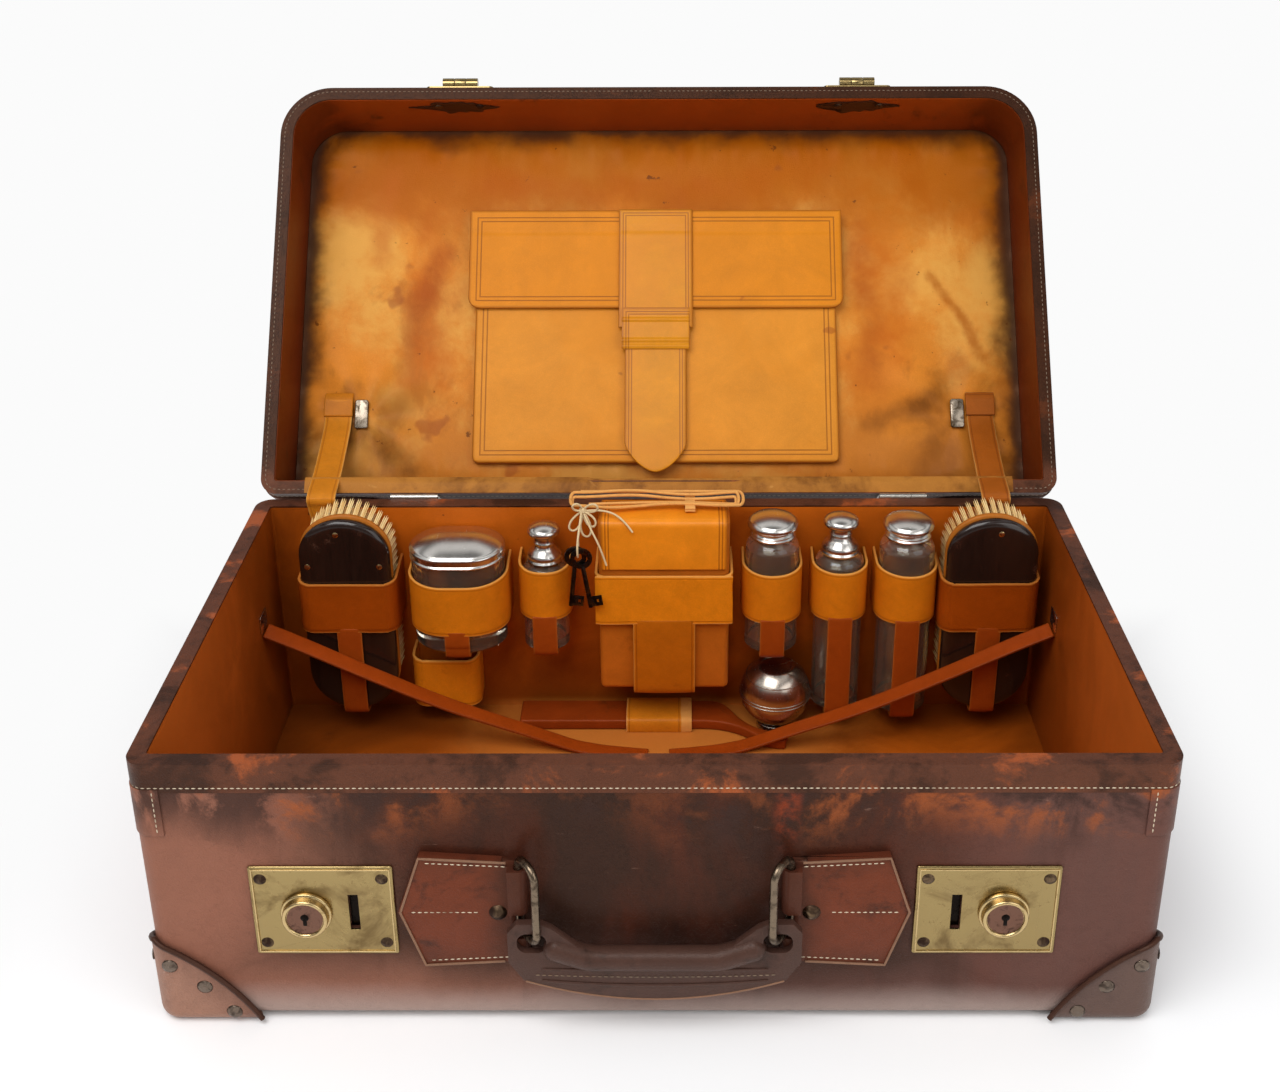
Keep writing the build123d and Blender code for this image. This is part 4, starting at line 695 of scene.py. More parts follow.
def pad_wear(n, tone, rough, height):
    """Lid lining: golden, with orange streaks round the folder, brown tide marks at the edges, painted shade along its
    creases and in the crevice at its very edge, and specks.
    """
    u, v, _ = n.split(n.uv())
    near = n.math("MINIMUM", n.math("MINIMUM", u, n.math("SUBTRACT", 0.544, u)), n.math("ADD", v, 0.004))
    p = n.place()
    x = n.math("SUBTRACT", u, 0.27)
    gold = n.step(n.noise(p, 8.0, 8.0, 0.64, 0.3), 0.44, 0.6)
    tone = n.mix(n.math("MULTIPLY", gold, 0.75), tone, colour("dca650"))
    drift = n.math("SUBTRACT", n.noise(p, 6.0, 6.0, 0.62, 0.8), 0.5)
    beside = n.math("SUBTRACT", n.math("ADD", n.math("ABSOLUTE", x), n.math("MULTIPLY", drift, 0.09)), 0.168)
    beside = n.step(n.math("ABSOLUTE", beside), 0.03, 0.004)
    top = n.step(n.math("ADD", v, n.math("MULTIPLY", drift, 0.12)), 0.1, 0.045)
    warm = n.math("MAXIMUM", n.math("MULTIPLY", beside, n.step(v, 0.26, 0.18)), top)
    streaks = n.step(n.noise(n.stretch(p, 1.0, 0.6, 0.6), 16.0, 8.0, 0.62, 0.35), 0.38, 0.6)
    glow = n.math("MULTIPLY", warm, n.math("ADD", 0.35, n.math("MULTIPLY", streaks, 0.5)))
    tone = n.mix(glow, tone, colour("b4560a"))
    brown = n.step(n.noise(n.stretch(p, 1.2, 0.7, 0.7), 16.0, 9.0, 0.66, 0.4), 0.56, 0.68)
    tone = n.mix(n.math("MULTIPLY", brown, 0.45), tone, colour("a05c20"))
    stay = n.math("SUBTRACT", n.math("ABSOLUTE", n.math("ADD", x, n.math("MULTIPLY", drift, 0.05))), 0.205)
    stay = n.math("MULTIPLY", n.step(n.math("ABSOLUTE", stay), 0.03, 0.006), n.step(v, 0.19, 0.235))
    tone = n.mix(n.math("MULTIPLY", n.math("MULTIPLY", stay, streaks), 0.6), tone, colour("6e3c16"))
    tone = n.mix(n.math("MULTIPLY", top, 0.72), tone, colour("a25500"))
    foot = n.step(n.math("ADD", v, n.math("MULTIPLY", drift, 0.1)), 0.2, 0.27)
    tone = n.mix(n.math("MULTIPLY", foot, 0.4), tone, colour("8a5220"))
    patchy = n.math("ADD", 0.35, n.math("MULTIPLY", n.step(n.noise(p, 34.0, 7.0, 0.62, 0.3), 0.35, 0.65), 0.55))
    # Painted shade along the lining's creases.
    for u0, v0, u1, v1, wide, crease_shade_colour, deep in CREASES:
        line = use(n, CREASE, From_U=u0, From_V=v0, To_U=u1, To_V=v1, Width=wide)["Mask"]
        tone = n.mix(n.math("MULTIPLY", n.math("MULTIPLY", line, patchy), deep), tone, colour(crease_shade_colour))
    wander = n.math("MULTIPLY", n.noise(p, 26.0, 5.0, 0.55, 0.2), 0.058)
    dark = n.math("SUBTRACT", 1.0, n.step(near, n.math("SUBTRACT", wander, 0.03), n.math("SUBTRACT", wander, 0.006)))
    tone = n.mix(n.math("MULTIPLY", dark, 0.78), tone, colour("5e3216"))
    # The very edge, where the lining tucks down against the lid wall, is painted near black: painted shade.
    edge_crevice_shade = n.math("SUBTRACT", 1.0, n.step(near, 0.001, n.math("MULTIPLY", wander, 0.46)))
    tone = n.mix(n.math("MULTIPLY", edge_crevice_shade, 0.85), tone, colour("3a2a24"))
    speck = n.step(n.noise(p, 95.0, 4.0, 0.6), 0.68, 0.72)
    tone = n.mix(n.math("MULTIPLY", speck, 0.75), tone, colour("5a2c12"))
    spot = n.step(n.noise(p, 24.0, 3.0, 0.5), 0.68, 0.73)
    return n.mix(n.math("MULTIPLY", spot, 0.55), tone, colour("8a4420")), rough, height


def bordered(width, high, inset, gap, line):
    def lines(n, tone, rough, height):
        b = use(n, BORDER, Width=width * MM, Height=high * MM, Inset=inset * MM, Gap=gap * MM)
        p = n.place()
        warm = n.step(n.noise(p, 15.0, 7.0, 0.6, 0.6), 0.4, 0.65)
        tone = n.mix(n.math("MULTIPLY", warm, 0.4), tone, colour("cc7c14"))
        spot = n.step(n.noise(p, 42.0, 2.0, 0.5), 0.74, 0.77)
        tone = n.mix(n.math("MULTIPLY", spot, 0.55), tone, colour("94481c"))
        tone = n.mix(n.math("MULTIPLY", b["Lines"], 0.7), tone, colour(line))
        tone = n.mix(n.math("MULTIPLY", b["Edge"], 0.6), tone, colour("8a4a14"))
        height = n.math("SUBTRACT", height, n.math("MULTIPLY", b["Lines"], 1.2))
        return tone, rough, height
    return lines


def chape_wear(n, tone, rough, height):
    """Chapes: dark along their edges, with painted shade by the fold, rubbed red in the middle."""
    x, _, z = n.split(n.place())
    drift = n.math("SUBTRACT", n.noise(n.place(), 30.0, 6.0, 0.6, 0.3), 0.5)
    edge = n.math("ADD", n.math("ABSOLUTE", n.math("SUBTRACT", z, 0.082)), n.math("MULTIPLY", drift, 0.02))
    fold = n.math("ADD", n.math("ABSOLUTE", x), n.math("MULTIPLY", drift, 0.03))
    # Near the fold the darkening is painted shade; along the edges it is the hide's own dark.
    dark = n.math("MAXIMUM", n.math("MULTIPLY", n.step(edge, 0.018, 0.034), 0.5), n.step(fold, 0.1, 0.076))
    tone = n.mix(n.math("MULTIPLY", dark, 0.7), tone, colour("33201a"))
    return tone, rough, height


def patch_wear(n, tone, rough, height):
    """Corner patches: dark towards their curved edge, rubbed pale at the bottom corner."""
    p = n.place()
    x, _, z = n.split(p)
    drift = n.math("SUBTRACT", n.noise(p, 22.0, 8.0, 0.68, 0.8), 0.5)
    away = n.math("ADD", n.math("SUBTRACT", 0.28, n.math("ABSOLUTE", x)), n.math("MULTIPLY", z, 0.8))
    away = n.math("ADD", away, n.math("MULTIPLY", drift, 0.05))
    tone = n.mix(n.math("MULTIPLY", n.step(away, 0.03, 0.075), 0.7), tone, colour("5a3c34"))
    right = n.math("MULTIPLY", n.step(x, 0.1, 0.2), 0.85)
    return n.mix(right, tone, colour("4c4240")), rough, height


case_hide = leather("case_hide", "281813", "1a100d", "40251d", 0.5, 0.3, 9.0, 820.0, 0.5, 0.12, front_wear)
case_plain = leather("case_plain", "4a2b22", "2a1814", "7a4c3c", 0.5, 0.3, 12.0, 900.0, 0.45, 0.1)
rim_hide = leather("rim_hide", "563224", "2c1a14", "865038", 0.5, 0.3, 26.0, 900.0, 0.5, 0.1, rim_wear)
edge_roll = leather("edge_roll", "3a2620", "241612", "5c4034", 0.4, 0.3, 40.0, 1100.0, 0.45, 0.1)
patch_hide = leather("patch_hide", "96705f", "5a3c34", "b89a8c", 0.35, 0.42, 22.0, 700.0, 0.55, 0.1, patch_wear)
lining_hide = leather("lining_hide", "b85a12", "6e2e08", "c8742a", 0.33, 0.25, 8.0, 1300.0, 0.25, 0.04, stains)
lid_board_hide = leather("lid_board_hide", "903a0c", "541c06", "a04a14", 0.4, 0.2, 10.0, 1300.0, 0.25, 0.06,
                         board_stains_and_shade)
pad_hide = leather("pad_hide", "cf7f2a", "b8661a", "dc9a44", 0.3, 0.3, 7.0, 1200.0, 0.3, 0.04, pad_wear)
stained = leather("stained_patch", "2e160e", "1a0d09", "4a2614", 0.5, 0.3, 60.0, 1200.0, 0.4, 0.1)
hinge_strip = leather("hinge_strip", "a86e2c", "6e4218", "c4904c", 0.6, 0.45, 14.0, 1200.0, 0.3, 0.05)
folder_hide = leather("folder_hide", "d2882a", "ba6a1c", "dc9440", 0.2, 0.2, 10.0, 1300.0, 0.25, 0.08,
                      bordered(273, 196, 6, 3.2, "7a4012"))
flap_hide = leather("flap_hide", "cf7f1a", "b8681a", "da9038", 0.18, 0.15, 10.0, 1300.0, 0.25, 0.08,
                    bordered(284, 78, 6, 3.0, "7a4012"))
wallet_hide = leather("wallet_hide", "b8641a", "7c3c0c", "cc7c2a", 0.35, 0.25, 18.0, 1400.0, 0.22, 0.1)
tan_strap = strip_leather("tan_strap", "c47418", "8a4a12", "d8903a", 40, "dca058")
loop_strap = strip_leather("loop_strap", "ce7612", "984e0a", "da8c28", 40, "dc9c4c", dark_cover=0.3)
# The loop leathers share one tan: this broad loop, for the wallet in the middle, is painted lighter as painted light,
# and the brushes' end loops below are painted darker as painted shade.
broad_loop = strip_leather("broad_loop", "dc8214", "a4560c", "e69830", 40, "e0a050", dark_cover=0.25)
end_loop_shaded_strap = strip_leather("end_loop_shaded_strap", "984408", "6a2a06", "b05c10", 40, "c07a34", dark_cover=0.3)
# Both sling leathers are the loops' tan painted darker, the narrow one most: painted shade.
shaded_sling_strap = strip_leather("shaded_sling_strap", "94400e", "6a2808", "ac5816", 17, "a85c20", line=False)
wide_sling = strip_leather("wide_sling", "b4620e", "84400a", "c47418", 43, "d08a38")
stay_strap = strip_leather("stay_strap", "c47a1e", "94541a", "d4923a", 20, "d8a050")
stay_tab = leather("stay_tab", "b46c18", "7a4410", "cc8634", 0.3, 0.25, 30.0, 1200.0, 0.3, 0.1)
stay_right = strip_leather("stay_strap_right", "9a5216", "6a3410", "b87030", 20, "c08c48")
packing_hide = strip_leather("packing_hide", "983e0c", "6a2808", "b0561a", 12, "7c340e", line=False)
lace_hide = leather("lace_hide", "da9c56", "7c4a1c", "d4a468", 0.4, 0.4, 60.0, 1500.0, 0.3, 0.0)
sleeve_hide = leather("sleeve_hide", "84340c", "3a1406", "a04e18", 0.35, 0.3, 20.0, 1300.0, 0.3, 0.1)
grip_hide = leather("grip_hide", "463029", "221612", "6c5044", 0.45, 0.32, 26.0, 1100.0, 0.45, 0.15, tint="e0c8b8")
brush_base = leather("brush_base", "a8641e", "7a4412", "c48238", 0.3, 0.3, 40.0, 1400.0, 0.2, 0.2)
# cut_edge is pale: a real cut edge on the grip, and a painted highlight on the chapes' edge beads.
cut_edge = leather("cut_edge", "80604c", "4c3024", "a4866e", 0.3, 0.4, 60.0, 1500.0, 0.3)
chape_hide = leather("chape_hide", "66301e", "341a14", "845040", 0.5, 0.35, 26.0, 900.0, 0.4, 0.12, chape_wear)
brass = metal("aged_brass", "a08a5c", "7c6642", 0.5, 30.0, 0.1)
ring_metal = metal("ring_pewter", "7c6c5a", "3e3228", 0.6, 120.0)
bright_brass = metal("lip_brass", "c8ae7c", "94794c", 0.4, 90.0, 0.08)
nozzle_face = metal("bronzed_face", "745446", "46322a", 0.5, 160.0)
# Near black standing for the shade inside the keyholes and lock slots: painted shade.
hole_shade = metal("hole_shade_black", "1a1512", "0c0908", 0.5, 200.0)
ball_silver = metal("dull_silver", "b4a89c", "6e6258", 0.35, 70.0, 0.06)
dark_brass = metal("dark_brass", "6e5a44", "3a2a22", 0.8, 90.0)
nickel = metal("worn_nickel", "c8c2b8", "6e6254", 0.45, 90.0)
anchor_metal = metal("dull_nickel", "8c8072", "4a3c2c", 0.6, 140.0)
steel = metal("dark_steel", "4c4844", "1e1814", 0.7, 120.0)
silver = metal("polished_silver", "d6d2cc", "948878", 0.12, 60.0, 0.04)
silver.node_tree.nodes["Principled BSDF"].inputs["Specular Tint"].default_value = (1, 1, 1, 1)


def make_thread(name="linen_thread", low="b09a7c", high="e0d4ba"):
    m, n, s = material(name)
    p = n.place()
    fray = n.noise(p, 900.0, 4.0, 0.6)
    dirt = n.step(n.noise(p, 30.0, 6.0, 0.7), 0.5, 0.7)
    n.feed(s.inputs["Base Color"], n.mix(dirt, n.mix(fray, colour(low), colour(high)), colour("6a4c34")))
    n.feed(s.inputs["Roughness"], n.math("ADD", 0.7, n.math("MULTIPLY", fray, 0.25)))
    n.feed(s.inputs["Normal"], n.bump(fray, 0.4, 0.0002))
    return m


def make_ebony():
    m, n, s = material("polished_ebony")
    p = n.place()
    figure = n.noise(n.stretch(p, 6.0, 6.0, 0.7), 60.0, 6.0, 0.6, 0.6)
    worn = n.step(n.noise(p, 50.0, 6.0, 0.7), 0.6, 0.75)
    n.feed(s.inputs["Base Color"], n.mix(worn, n.mix(figure, colour("120b09"), colour("2e1c14")), colour("4a3024")))
    n.feed(s.inputs["Roughness"], n.math("ADD", 0.18, n.math("MULTIPLY", worn, 0.2)))
    n.feed(s.inputs["Normal"], n.bump(figure, 0.12, 0.0003))
    s.inputs["Coat Weight"].default_value = 0.35
    s.inputs["Coat Roughness"].default_value = 0.08
    s.inputs["Specular IOR Level"].default_value = 0.3
    return m


def make_bristle():
    m, n, s = material("pale_bristle")
    p = n.place()
    each = n.cells(n.stretch(p, 1.0, 0.02, 1.0), 420.0)
    n.feed(s.inputs["Base Color"], n.mix(each, colour("e4b468"), colour("ffe8ac")))
    n.feed(s.inputs["Roughness"], n.math("ADD", 0.5, n.math("MULTIPLY", each, 0.2)))
    n.feed(s.inputs["Normal"], n.bump(n.noise(p, 1500.0, 2.0), 0.2, 0.0002))
    return m


def make_glass():
    m, n, s = material("bottle_glass")
    p = n.place()
    film = n.step(n.noise(p, 40.0, 6.0, 0.7), 0.5, 0.8)
    n.feed(s.inputs["Base Color"], n.mix(film, colour("f4ead6"), colour("dcc8a0")))
    n.feed(s.inputs["Roughness"], n.math("ADD", 0.015, n.math("MULTIPLY", film, 0.05)))
    n.feed(s.inputs["Normal"], n.bump(n.noise(n.stretch(p, 1, 1, 0.2), 60.0, 2.0), 0.06, 0.0006))
    s.inputs["Transmission Weight"].default_value = 0.965
    s.inputs["IOR"].default_value = 1.5
    return m


def make_string():
    m, n, s = material("cream_string")
    p = n.place()
    ply = n.noise(p, 1200.0, 3.0, 0.6)
    n.feed(s.inputs["Base Color"], n.mix(ply, colour("c0a070"), colour("ecd8ac")))
    n.feed(s.inputs["Roughness"], n.math("ADD", 0.75, n.math("MULTIPLY", ply, 0.2)))
    n.feed(s.inputs["Normal"], n.bump(ply, 0.6, 0.0003))
    return m


dull_thread = make_thread("waxed_thread", "5c4838", "94806a")
thread, ebony, bristle, glass, string_mat = make_thread(), make_ebony(), make_bristle(), make_glass(), make_string()

# ------------------------------------------------------------------ camera
bpy.ops.object.camera_add(location=(0.01052, -0.84222, 0.68422),
                          rotation=(math.radians(67.031), math.radians(0.1925), math.radians(0.1847)))
camera = bpy.context.object
camera.data.sensor_width = 36.0
camera.data.lens = 44.617
camera.data.shift_x = -0.02056
camera.data.shift_y = -0.12513
camera.data.clip_start = 0.05
bpy.context.scene.camera = camera


# ------------------------------------------------------------------ cords
def cord_curve(name, points, diameter, resolution=6):
    """NURBS line through its control points, as a round cord."""
    curve = bpy.data.curves.new(name, "CURVE")
    curve.dimensions = "3D"
    spline = curve.splines.new("NURBS")
    spline.points.add(len(points) - 1)
    for p, q in zip(spline.points, points):
        p.co = (q[0] * MM, q[1] * MM, q[2] * MM, 1.0)
    spline.order_u = 3
    spline.use_endpoint_u = True
    spline.resolution_u = resolution
    curve.bevel_depth = diameter / 2 * MM
    curve.bevel_resolution = 3
    curve.use_fill_caps = True
    ob = bpy.data.objects.new(name, curve)
    bpy.context.scene.collection.objects.link(ob)
    return ob


def cord_line(ob):
    """Points of the cord's own smooth line, in mm."""
    depth = ob.data.bevel_depth
    ob.data.bevel_depth = 0.0
    mesh = bpy.data.meshes.new_from_object(ob)
    line = [v.co / MM for v in mesh.vertices]
    bpy.data.meshes.remove(mesh)
    ob.data.bevel_depth = depth
    return line


lace_z, lace_y, lace_x = 186.0, wall_y - 18, -1.75
lace_a, lace_b = lace_x - 52.5, lace_x + 52.5


def lace_points():
    """Hank of five half turns round the ones before, lying loosely on each other with uneven ends."""
    reach = [0.0, 0.3, -0.9, -1.2, -0.5]
    rise = [0.4, 3.2, 0.9, 5.4, 2.2, 4.6]
    z = lace_z + rise[0]
    pts = [(lace_a + 7, lace_y, z), (lace_x + 8, lace_y + 0.8, z + 1.6), (lace_b - 3, lace_y, z)]
    y, r, side = lace_y, 2.7, 1
    for k in range(5):
        end = (lace_b if side > 0 else lace_a) + side * reach[k]
        y2, z2 = y + side * 2 * r, lace_z + rise[k + 1]
        pts += [(end, y, z), (end + side * r, y, z), (end + side * r, y2, z2), (end, y2, z2)]
        if k < 4:
            far = (lace_a if side > 0 else lace_b) + side * (4 + r)
            pts += [(lace_x + side * 30, y2 - 2.6, z2 - 0.6), (lace_x + side * 12, y2 * 0.86 + lace_y * 0.14 + 0.6, z2 - 1.2),
                    (lace_x - side * 14, y2 + 2.4, z2 + 0.8), (far, y2, z2)]
        y, z, r, side = y2, z2, r + 1.35, -side
    pts.append((lace_a + 1, y, z))
    return pts


lace = cord_curve("lace_cord", lace_points(), 2.2)
knot = Vector((-51.0, lace_y - 5.4 - 1.1 - 2.5 - 0.3, lace_z))
key_eye = Vector((-54.0, wall_y - 34 - 8.5, 166.0))


def from_knot(*steps):
    first = knot + Vector(steps[0]).normalized() * 2.4
    return [first] + [knot + Vector(s) for s in steps]


left_end = cord_curve("string_end_left", from_knot((5, -9, -8), (12, -14, -20), (16, -14.5, -34)), 1.4)
right_end = cord_curve("string_end_right", from_knot((13, -3, 3), (27, -9, 0), (34, -12, -10)), 1.4)
ex, ey, ez = key_eye
hang_points = [knot + Vector((-0.4, -1.8, -1.7)), (ex + 0.9, ey + 3.6, ez + 10), (ex, ey + 4.4, ez + 4.6), (ex, ey + 6.0, ez),
               (ex, ey + 4.4, ez - 5.2), (ex, ey, ez - 6.6), (ex, ey - 4.6, ez - 5.0), (ex, ey - 6.2, ez),
               (ex, ey - 4.4, ez + 5.0), (ex + 0.6, ey + 0.6, ez + 10.5), knot + Vector((-0.9, -2.4, -0.4))]
hang = cord_curve("string_hang", hang_points, 1.4)


def length_of(ob):
    line = cord_line(ob)
    return sum((b - a).length for a, b in zip(line, line[1:])) * MM


# ------------------------------------------------------------------ lid pieces are drawn shut, then turned open
OPEN = (Matrix.Translation((0, hinge_y * MM, hinge_z * MM)) @ Matrix.Rotation(math.radians(-open_angle), 4, "X")
        @ Matrix.Translation((0, -hinge_y * MM, -hinge_z * MM)))
OPEN_MM = np.array(OPEN)
OPEN_MM[:3, 3] *= 1000


def open_lid(ob):
    ob.data.transform(OPEN)
    return ob


def open_frames(frames):
    out = []
    for f in frames:
        g = np.zeros((3, 4))
        g[:, :3] = OPEN_MM[:3, :3] @ f[:, :3]
        g[:, 3] = OPEN_MM[:3, :3] @ f[:, 3] + OPEN_MM[:3, 3]
        out.append(g)
    return out


def rounded_outline(w, d, r_back, r_front, step=5.0):
    """Closed outline of the case in plan, with its outward normals, starting at the middle of the front."""
    pts = []
    for sx, sy, r, a0 in ((1, -1, r_front, -90), (1, 1, r_back, 0), (-1, 1, r_back, 90), (-1, -1, r_front, 180)):
        cx, cy = sx * (w / 2 - r), sy * (d / 2 - r)
        n = max(int(r * 1.6 / 3), 4)
        for k in range(n + 1):
            a = math.radians(a0 + 90 * k / n)
            pts.append((cx + r * math.cos(a), cy + r * math.sin(a)))
    full = [(0.0, -d / 2)] + pts + [(0.0, -d / 2)]
    dense = []
    for (x0, y0), (x1, y1) in zip(full, full[1:]):
        n = max(int(math.hypot(x1 - x0, y1 - y0) / step), 1)
        dense += [(x0 + (x1 - x0) * k / n, y0 + (y1 - y0) * k / n) for k in range(n)]
    return dense


def band_round(name, outline, z_low, z_high, thick, nv=3):
    """Upright band of leather standing on a closed outline."""
    count = len(outline)
    ob = grid(name, count, nv)

    def rule(u, v):
        x, y = outline[int(round(u * count)) % count]
        return (x, y, z_low + (z_high - z_low) * v)
    lay(ob, rule)
    pick(ob)
    bpy.ops.object.mode_set(mode="EDIT")
    bpy.ops.mesh.select_all(action="SELECT")
    bpy.ops.mesh.remove_doubles(threshold=0.00001)
    bpy.ops.object.mode_set(mode="OBJECT")
    modifier(ob, "SOLIDIFY", thickness=thick * MM, offset=0.0)
    apply_all(ob)
    outward(ob)
    return ob


BEAD, BEAD_FACES = bead()


def stitches(name, rows, body, mat, lid=False):
    """Rows of (line, normal) sewn as one piece."""
    frames = []
    for line, normal in rows:
        frames += stitch_frames(line, normal)
    if lid:
        frames = open_frames(frames)
    return many(name, BEAD, BEAD_FACES, frames, body, mat)


def facing(points):
    """Outward normal at a point of the case's plan, for stitches on its sides."""
    def normal(p):
        x, y = p[0], p[1]
        dx = max(abs(x) - (case_w / 2 - 36), 0) * (1 if x > 0 else -1)
        dy = max(abs(y) - (case_d / 2 - 36), 0) * (1 if y > 0 else -1)
        if abs(abs(y) - case_d / 2) < 3 and abs(x) < case_w / 2 - 36:
            return Vector((0, 1 if y > 0 else -1, 0))
        if abs(abs(x) - case_w / 2) < 3 and abs(y) < case_d / 2 - 36:
            return Vector((1 if x > 0 else -1, 0, 0))
        return Vector((dx, dy, 0)).normalized() if (dx or dy) else Vector((0, -1, 0))
    return normal


# ------------------------------------------------------------------ case: shells, bands, patches
def keep(name, mat):
    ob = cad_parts[name]
    ob.data.materials.clear()
    ob.data.materials.append(mat)


for name, mat, slot in (("base_shell", case_hide, "case_leather"), ("lid_shell", case_plain, "case_leather"),
                        ("base_lining", lining_hide, "lining_leather"),
                        ("lid_rim_band", rim_hide, "binding_leather"),
                        ("base_corner_patches", patch_hide, "patch_leather"),
                        ("lid_corner_patches", patch_hide, "patch_leather"),
                        ("lid_rivets", dark_brass, "aged_brass"),
                        ("bottle_short_glass", glass, "bottle_glass"), ("bottle_two_glass", glass, "bottle_glass"),
                        ("bottle_three_glass", glass, "bottle_glass"),
                        ("bottle_four_glass", glass, "bottle_glass"), ("jar_glass", glass, "bottle_glass"),
                        ("handle_ring_left", ring_metal, "aged_brass"),
                        ("handle_ring_right", ring_metal, "aged_brass"),
                        ("hinge_base_leaves", nickel, "nickel"), ("hinge_lid_leaves", nickel, "nickel"),
                        ("hasp_plates", brass, "aged_brass"), ("brass_rivets", dark_brass, "aged_brass")):
    keep(name, mat)

for name, new, body, mat, slot, bevel in (
        ("lock_plates", "lock_plates_worn", "base", brass, "aged_brass", 0.35),
        ("hasp_left", "hasp_leaf_left", "left_hasp", brass, "aged_brass", 0.4),
        ("hasp_right", "hasp_leaf_right", "right_hasp", brass, "aged_brass", 0.4),
        ("handle_chapes", "folded_chapes", "base", chape_hide, "case_leather", 1.1),
        ("handle_grip", "sewn_grip", "handle", grip_hide, "case_leather", 1.0),
        ("stay_anchors", "stay_squares", "lid", anchor_metal, "nickel", 0.6),
        ("strap_anchors", "strap_plates", "base", nickel, "nickel", 0.25),
        ("wallet_body", "wallet_stitched", "wallet", wallet_hide, "loop_leather", 1.2),
        ("leather_sleeve", "stitched_sleeve", "base", sleeve_hide, "lining_leather", 2.6),
        ("keys", "steel_keys", "lace", steel, "steel", 0.35)):
    worked_copy(name, new, body, mat, bevel, segments=3 if bevel > 0.9 else 2)



def thin_in(p):
    """Binding pared thin on the front and sides, full at the back where the hinges lie."""
    x, y, z = p
    keep_back = min(max((y - 90) / 30, 0), 1)
    cx, cy = max(abs(x) - case_w / 2 + 10, 0), max(abs(y) - case_d / 2 + 10, 0)
    out = math.hypot(cx, cy) - 10
    if out < 0.6:
        return p
    k = (10 + out - 0.75 * (1 - keep_back)) / (10 + out)
    return (math.copysign(abs(x) - cx + cx * k, x), math.copysign(abs(y) - cy + cy * k, y), z)


worked_copy("base_rim_band", "pared_rim_band", "base", rim_hide, 0, reshape=thin_in, merge=False)


def flat_heads(low):
    """Rivet heads of a node beaten flat."""
    def move(p):
        x, y, z = p
        if abs(y) > case_d / 2 + 2.5:
            y = math.copysign(case_d / 2 + 2.6 + (abs(y) - case_d / 2 - 2.6) * low, y)
        elif abs(x) > case_w / 2 + 2.5:
            x = math.copysign(case_w / 2 + 2.6 + (abs(x) - case_w / 2 - 2.6) * low, x)
        return (x, y, z)
    return move


patch_rivet = metal("patch_rivet", "74665a", "4a3e36", 0.6, 160.0)
worked_copy("base_rivets", "flat_patch_rivets", "base", patch_rivet, 0, reshape=flat_heads(0.45), merge=False)

# ------------------------------------------------------------------ turned silver tops, in mm from the CAD's own places
SPOOL = ((0, 0.34), (0.5, 0.34), (0.5, 0.02), (0.86, 0), (0.98, 0.03), (1.0, 0.07), (0.93, 0.12), (0.95, 0.17), (0.88, 0.25),
         (0.68, 0.33), (0.56, 0.41), (0.53, 0.47), (0.6, 0.53), (0.54, 0.58), (0.56, 0.66), (0.72, 0.72), (0.86, 0.755),
         (0.91, 0.8), (0.9, 0.85), (0.83, 0.9), (0.66, 0.945), (0.42, 0.98), (0.2, 0.995), (0, 1.0))
BROAD = ((0, 0.5), (0.52, 0.5), (0.52, 0.02), (0.84, 0), (0.9, 0.04), (0.91, 0.1), (0.86, 0.16), (0.87, 0.22), (0.8, 0.3),
         (0.81, 0.38), (0.93, 0.46), (0.99, 0.52), (1.0, 0.6), (0.98, 0.68), (0.92, 0.74), (0.9, 0.78), (0.84, 0.82),
         (0.7, 0.88), (0.48, 0.945), (0.24, 0.985), (0, 1.0))
for node, name, body, shape, less in (("bottle_short_cap", "short_cap_turned", "short_cap", SPOOL, 5.0),
                                      ("bottle_two_cap", "second_cap_turned", "second_cap", BROAD, 4.0),
                                      ("bottle_three_cap", "third_cap_turned", "third_cap", SPOOL, 5.0),
                                      ("bottle_four_cap", "fourth_cap_turned", "fourth_cap", BROAD, 4.0)):
    (x0, y0, z0), (x1, y1, z1) = [[c / MM for c in corner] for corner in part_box(node)]
    r, high = (x1 - x0) / 2, z1 - z0 - less
    turned(name, ((x0 + x1) / 2, (y0 + y1) / 2, z0), (0, 0, 1), [(a * r, b * high) for a, b in shape], body, silver,
           (node,))
jar_steps = ((0, 9.0), (23.2, 8.6), (23.2, 0.2), (23.9, 0), (24.7, 0.5), (24.9, 1.3), (24.4, 2.0), (24.0, 2.4), (24.2, 5.2),
             (24.9, 5.8), (25.0, 6.8), (24.6, 7.6), (24.0, 8.0), (23.8, 8.5), (22.6, 9.4), (20.0, 10.7), (16.0, 12.2),
             (11.0, 13.6), (5.5, 14.6), (0, 15.0))
turned("jar_lid_turned", (-138.0, 117.6, 152.3), (0, 0, 1), jar_steps, "jar_cover", silver, ("jar_lid",), flat=8.0,
       around=96)

# ------------------------------------------------------------------ nozzles of the locks
for side, sx in (("left", -1), ("right", 1)):
    (x0, _, z0), (x1, _, z1) = [[c / MM for c in corner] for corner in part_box("lock_plates")]
    far = x1 - 2.0
    rim = [(far, z0 + 2.0), (far, z1 - 2.0), (144.0, z1 - 2.0), (144.0, z0 + 2.0)]
    path = []
    for (ax, az), (bx, bz) in zip(rim, rim[1:] + rim[:1]):
        path += [(sx * (ax + (bx - ax) * k / 12), front_y - 1.75, az + (bz - az) * k / 12) for k in range(12)]
    strip("plate_frame_" + side, path + path[:1], (0, -1, 0), 0.7, 0.8, "base", bright_brass,
          smooth_path=False)
NOZZLE = ((0, 0), (13.6, 0), (14.0, 0.4), (14.0, 1.7), (13.6, 2.2), (12.9, 2.4), (12.6, 3.0), (12.5, 5.6), (12.2, 6.3), (11.5, 6.7),
          (10.8, 6.6), (10.3, 6.1), (10.1, 5.4), (0, 5.3))


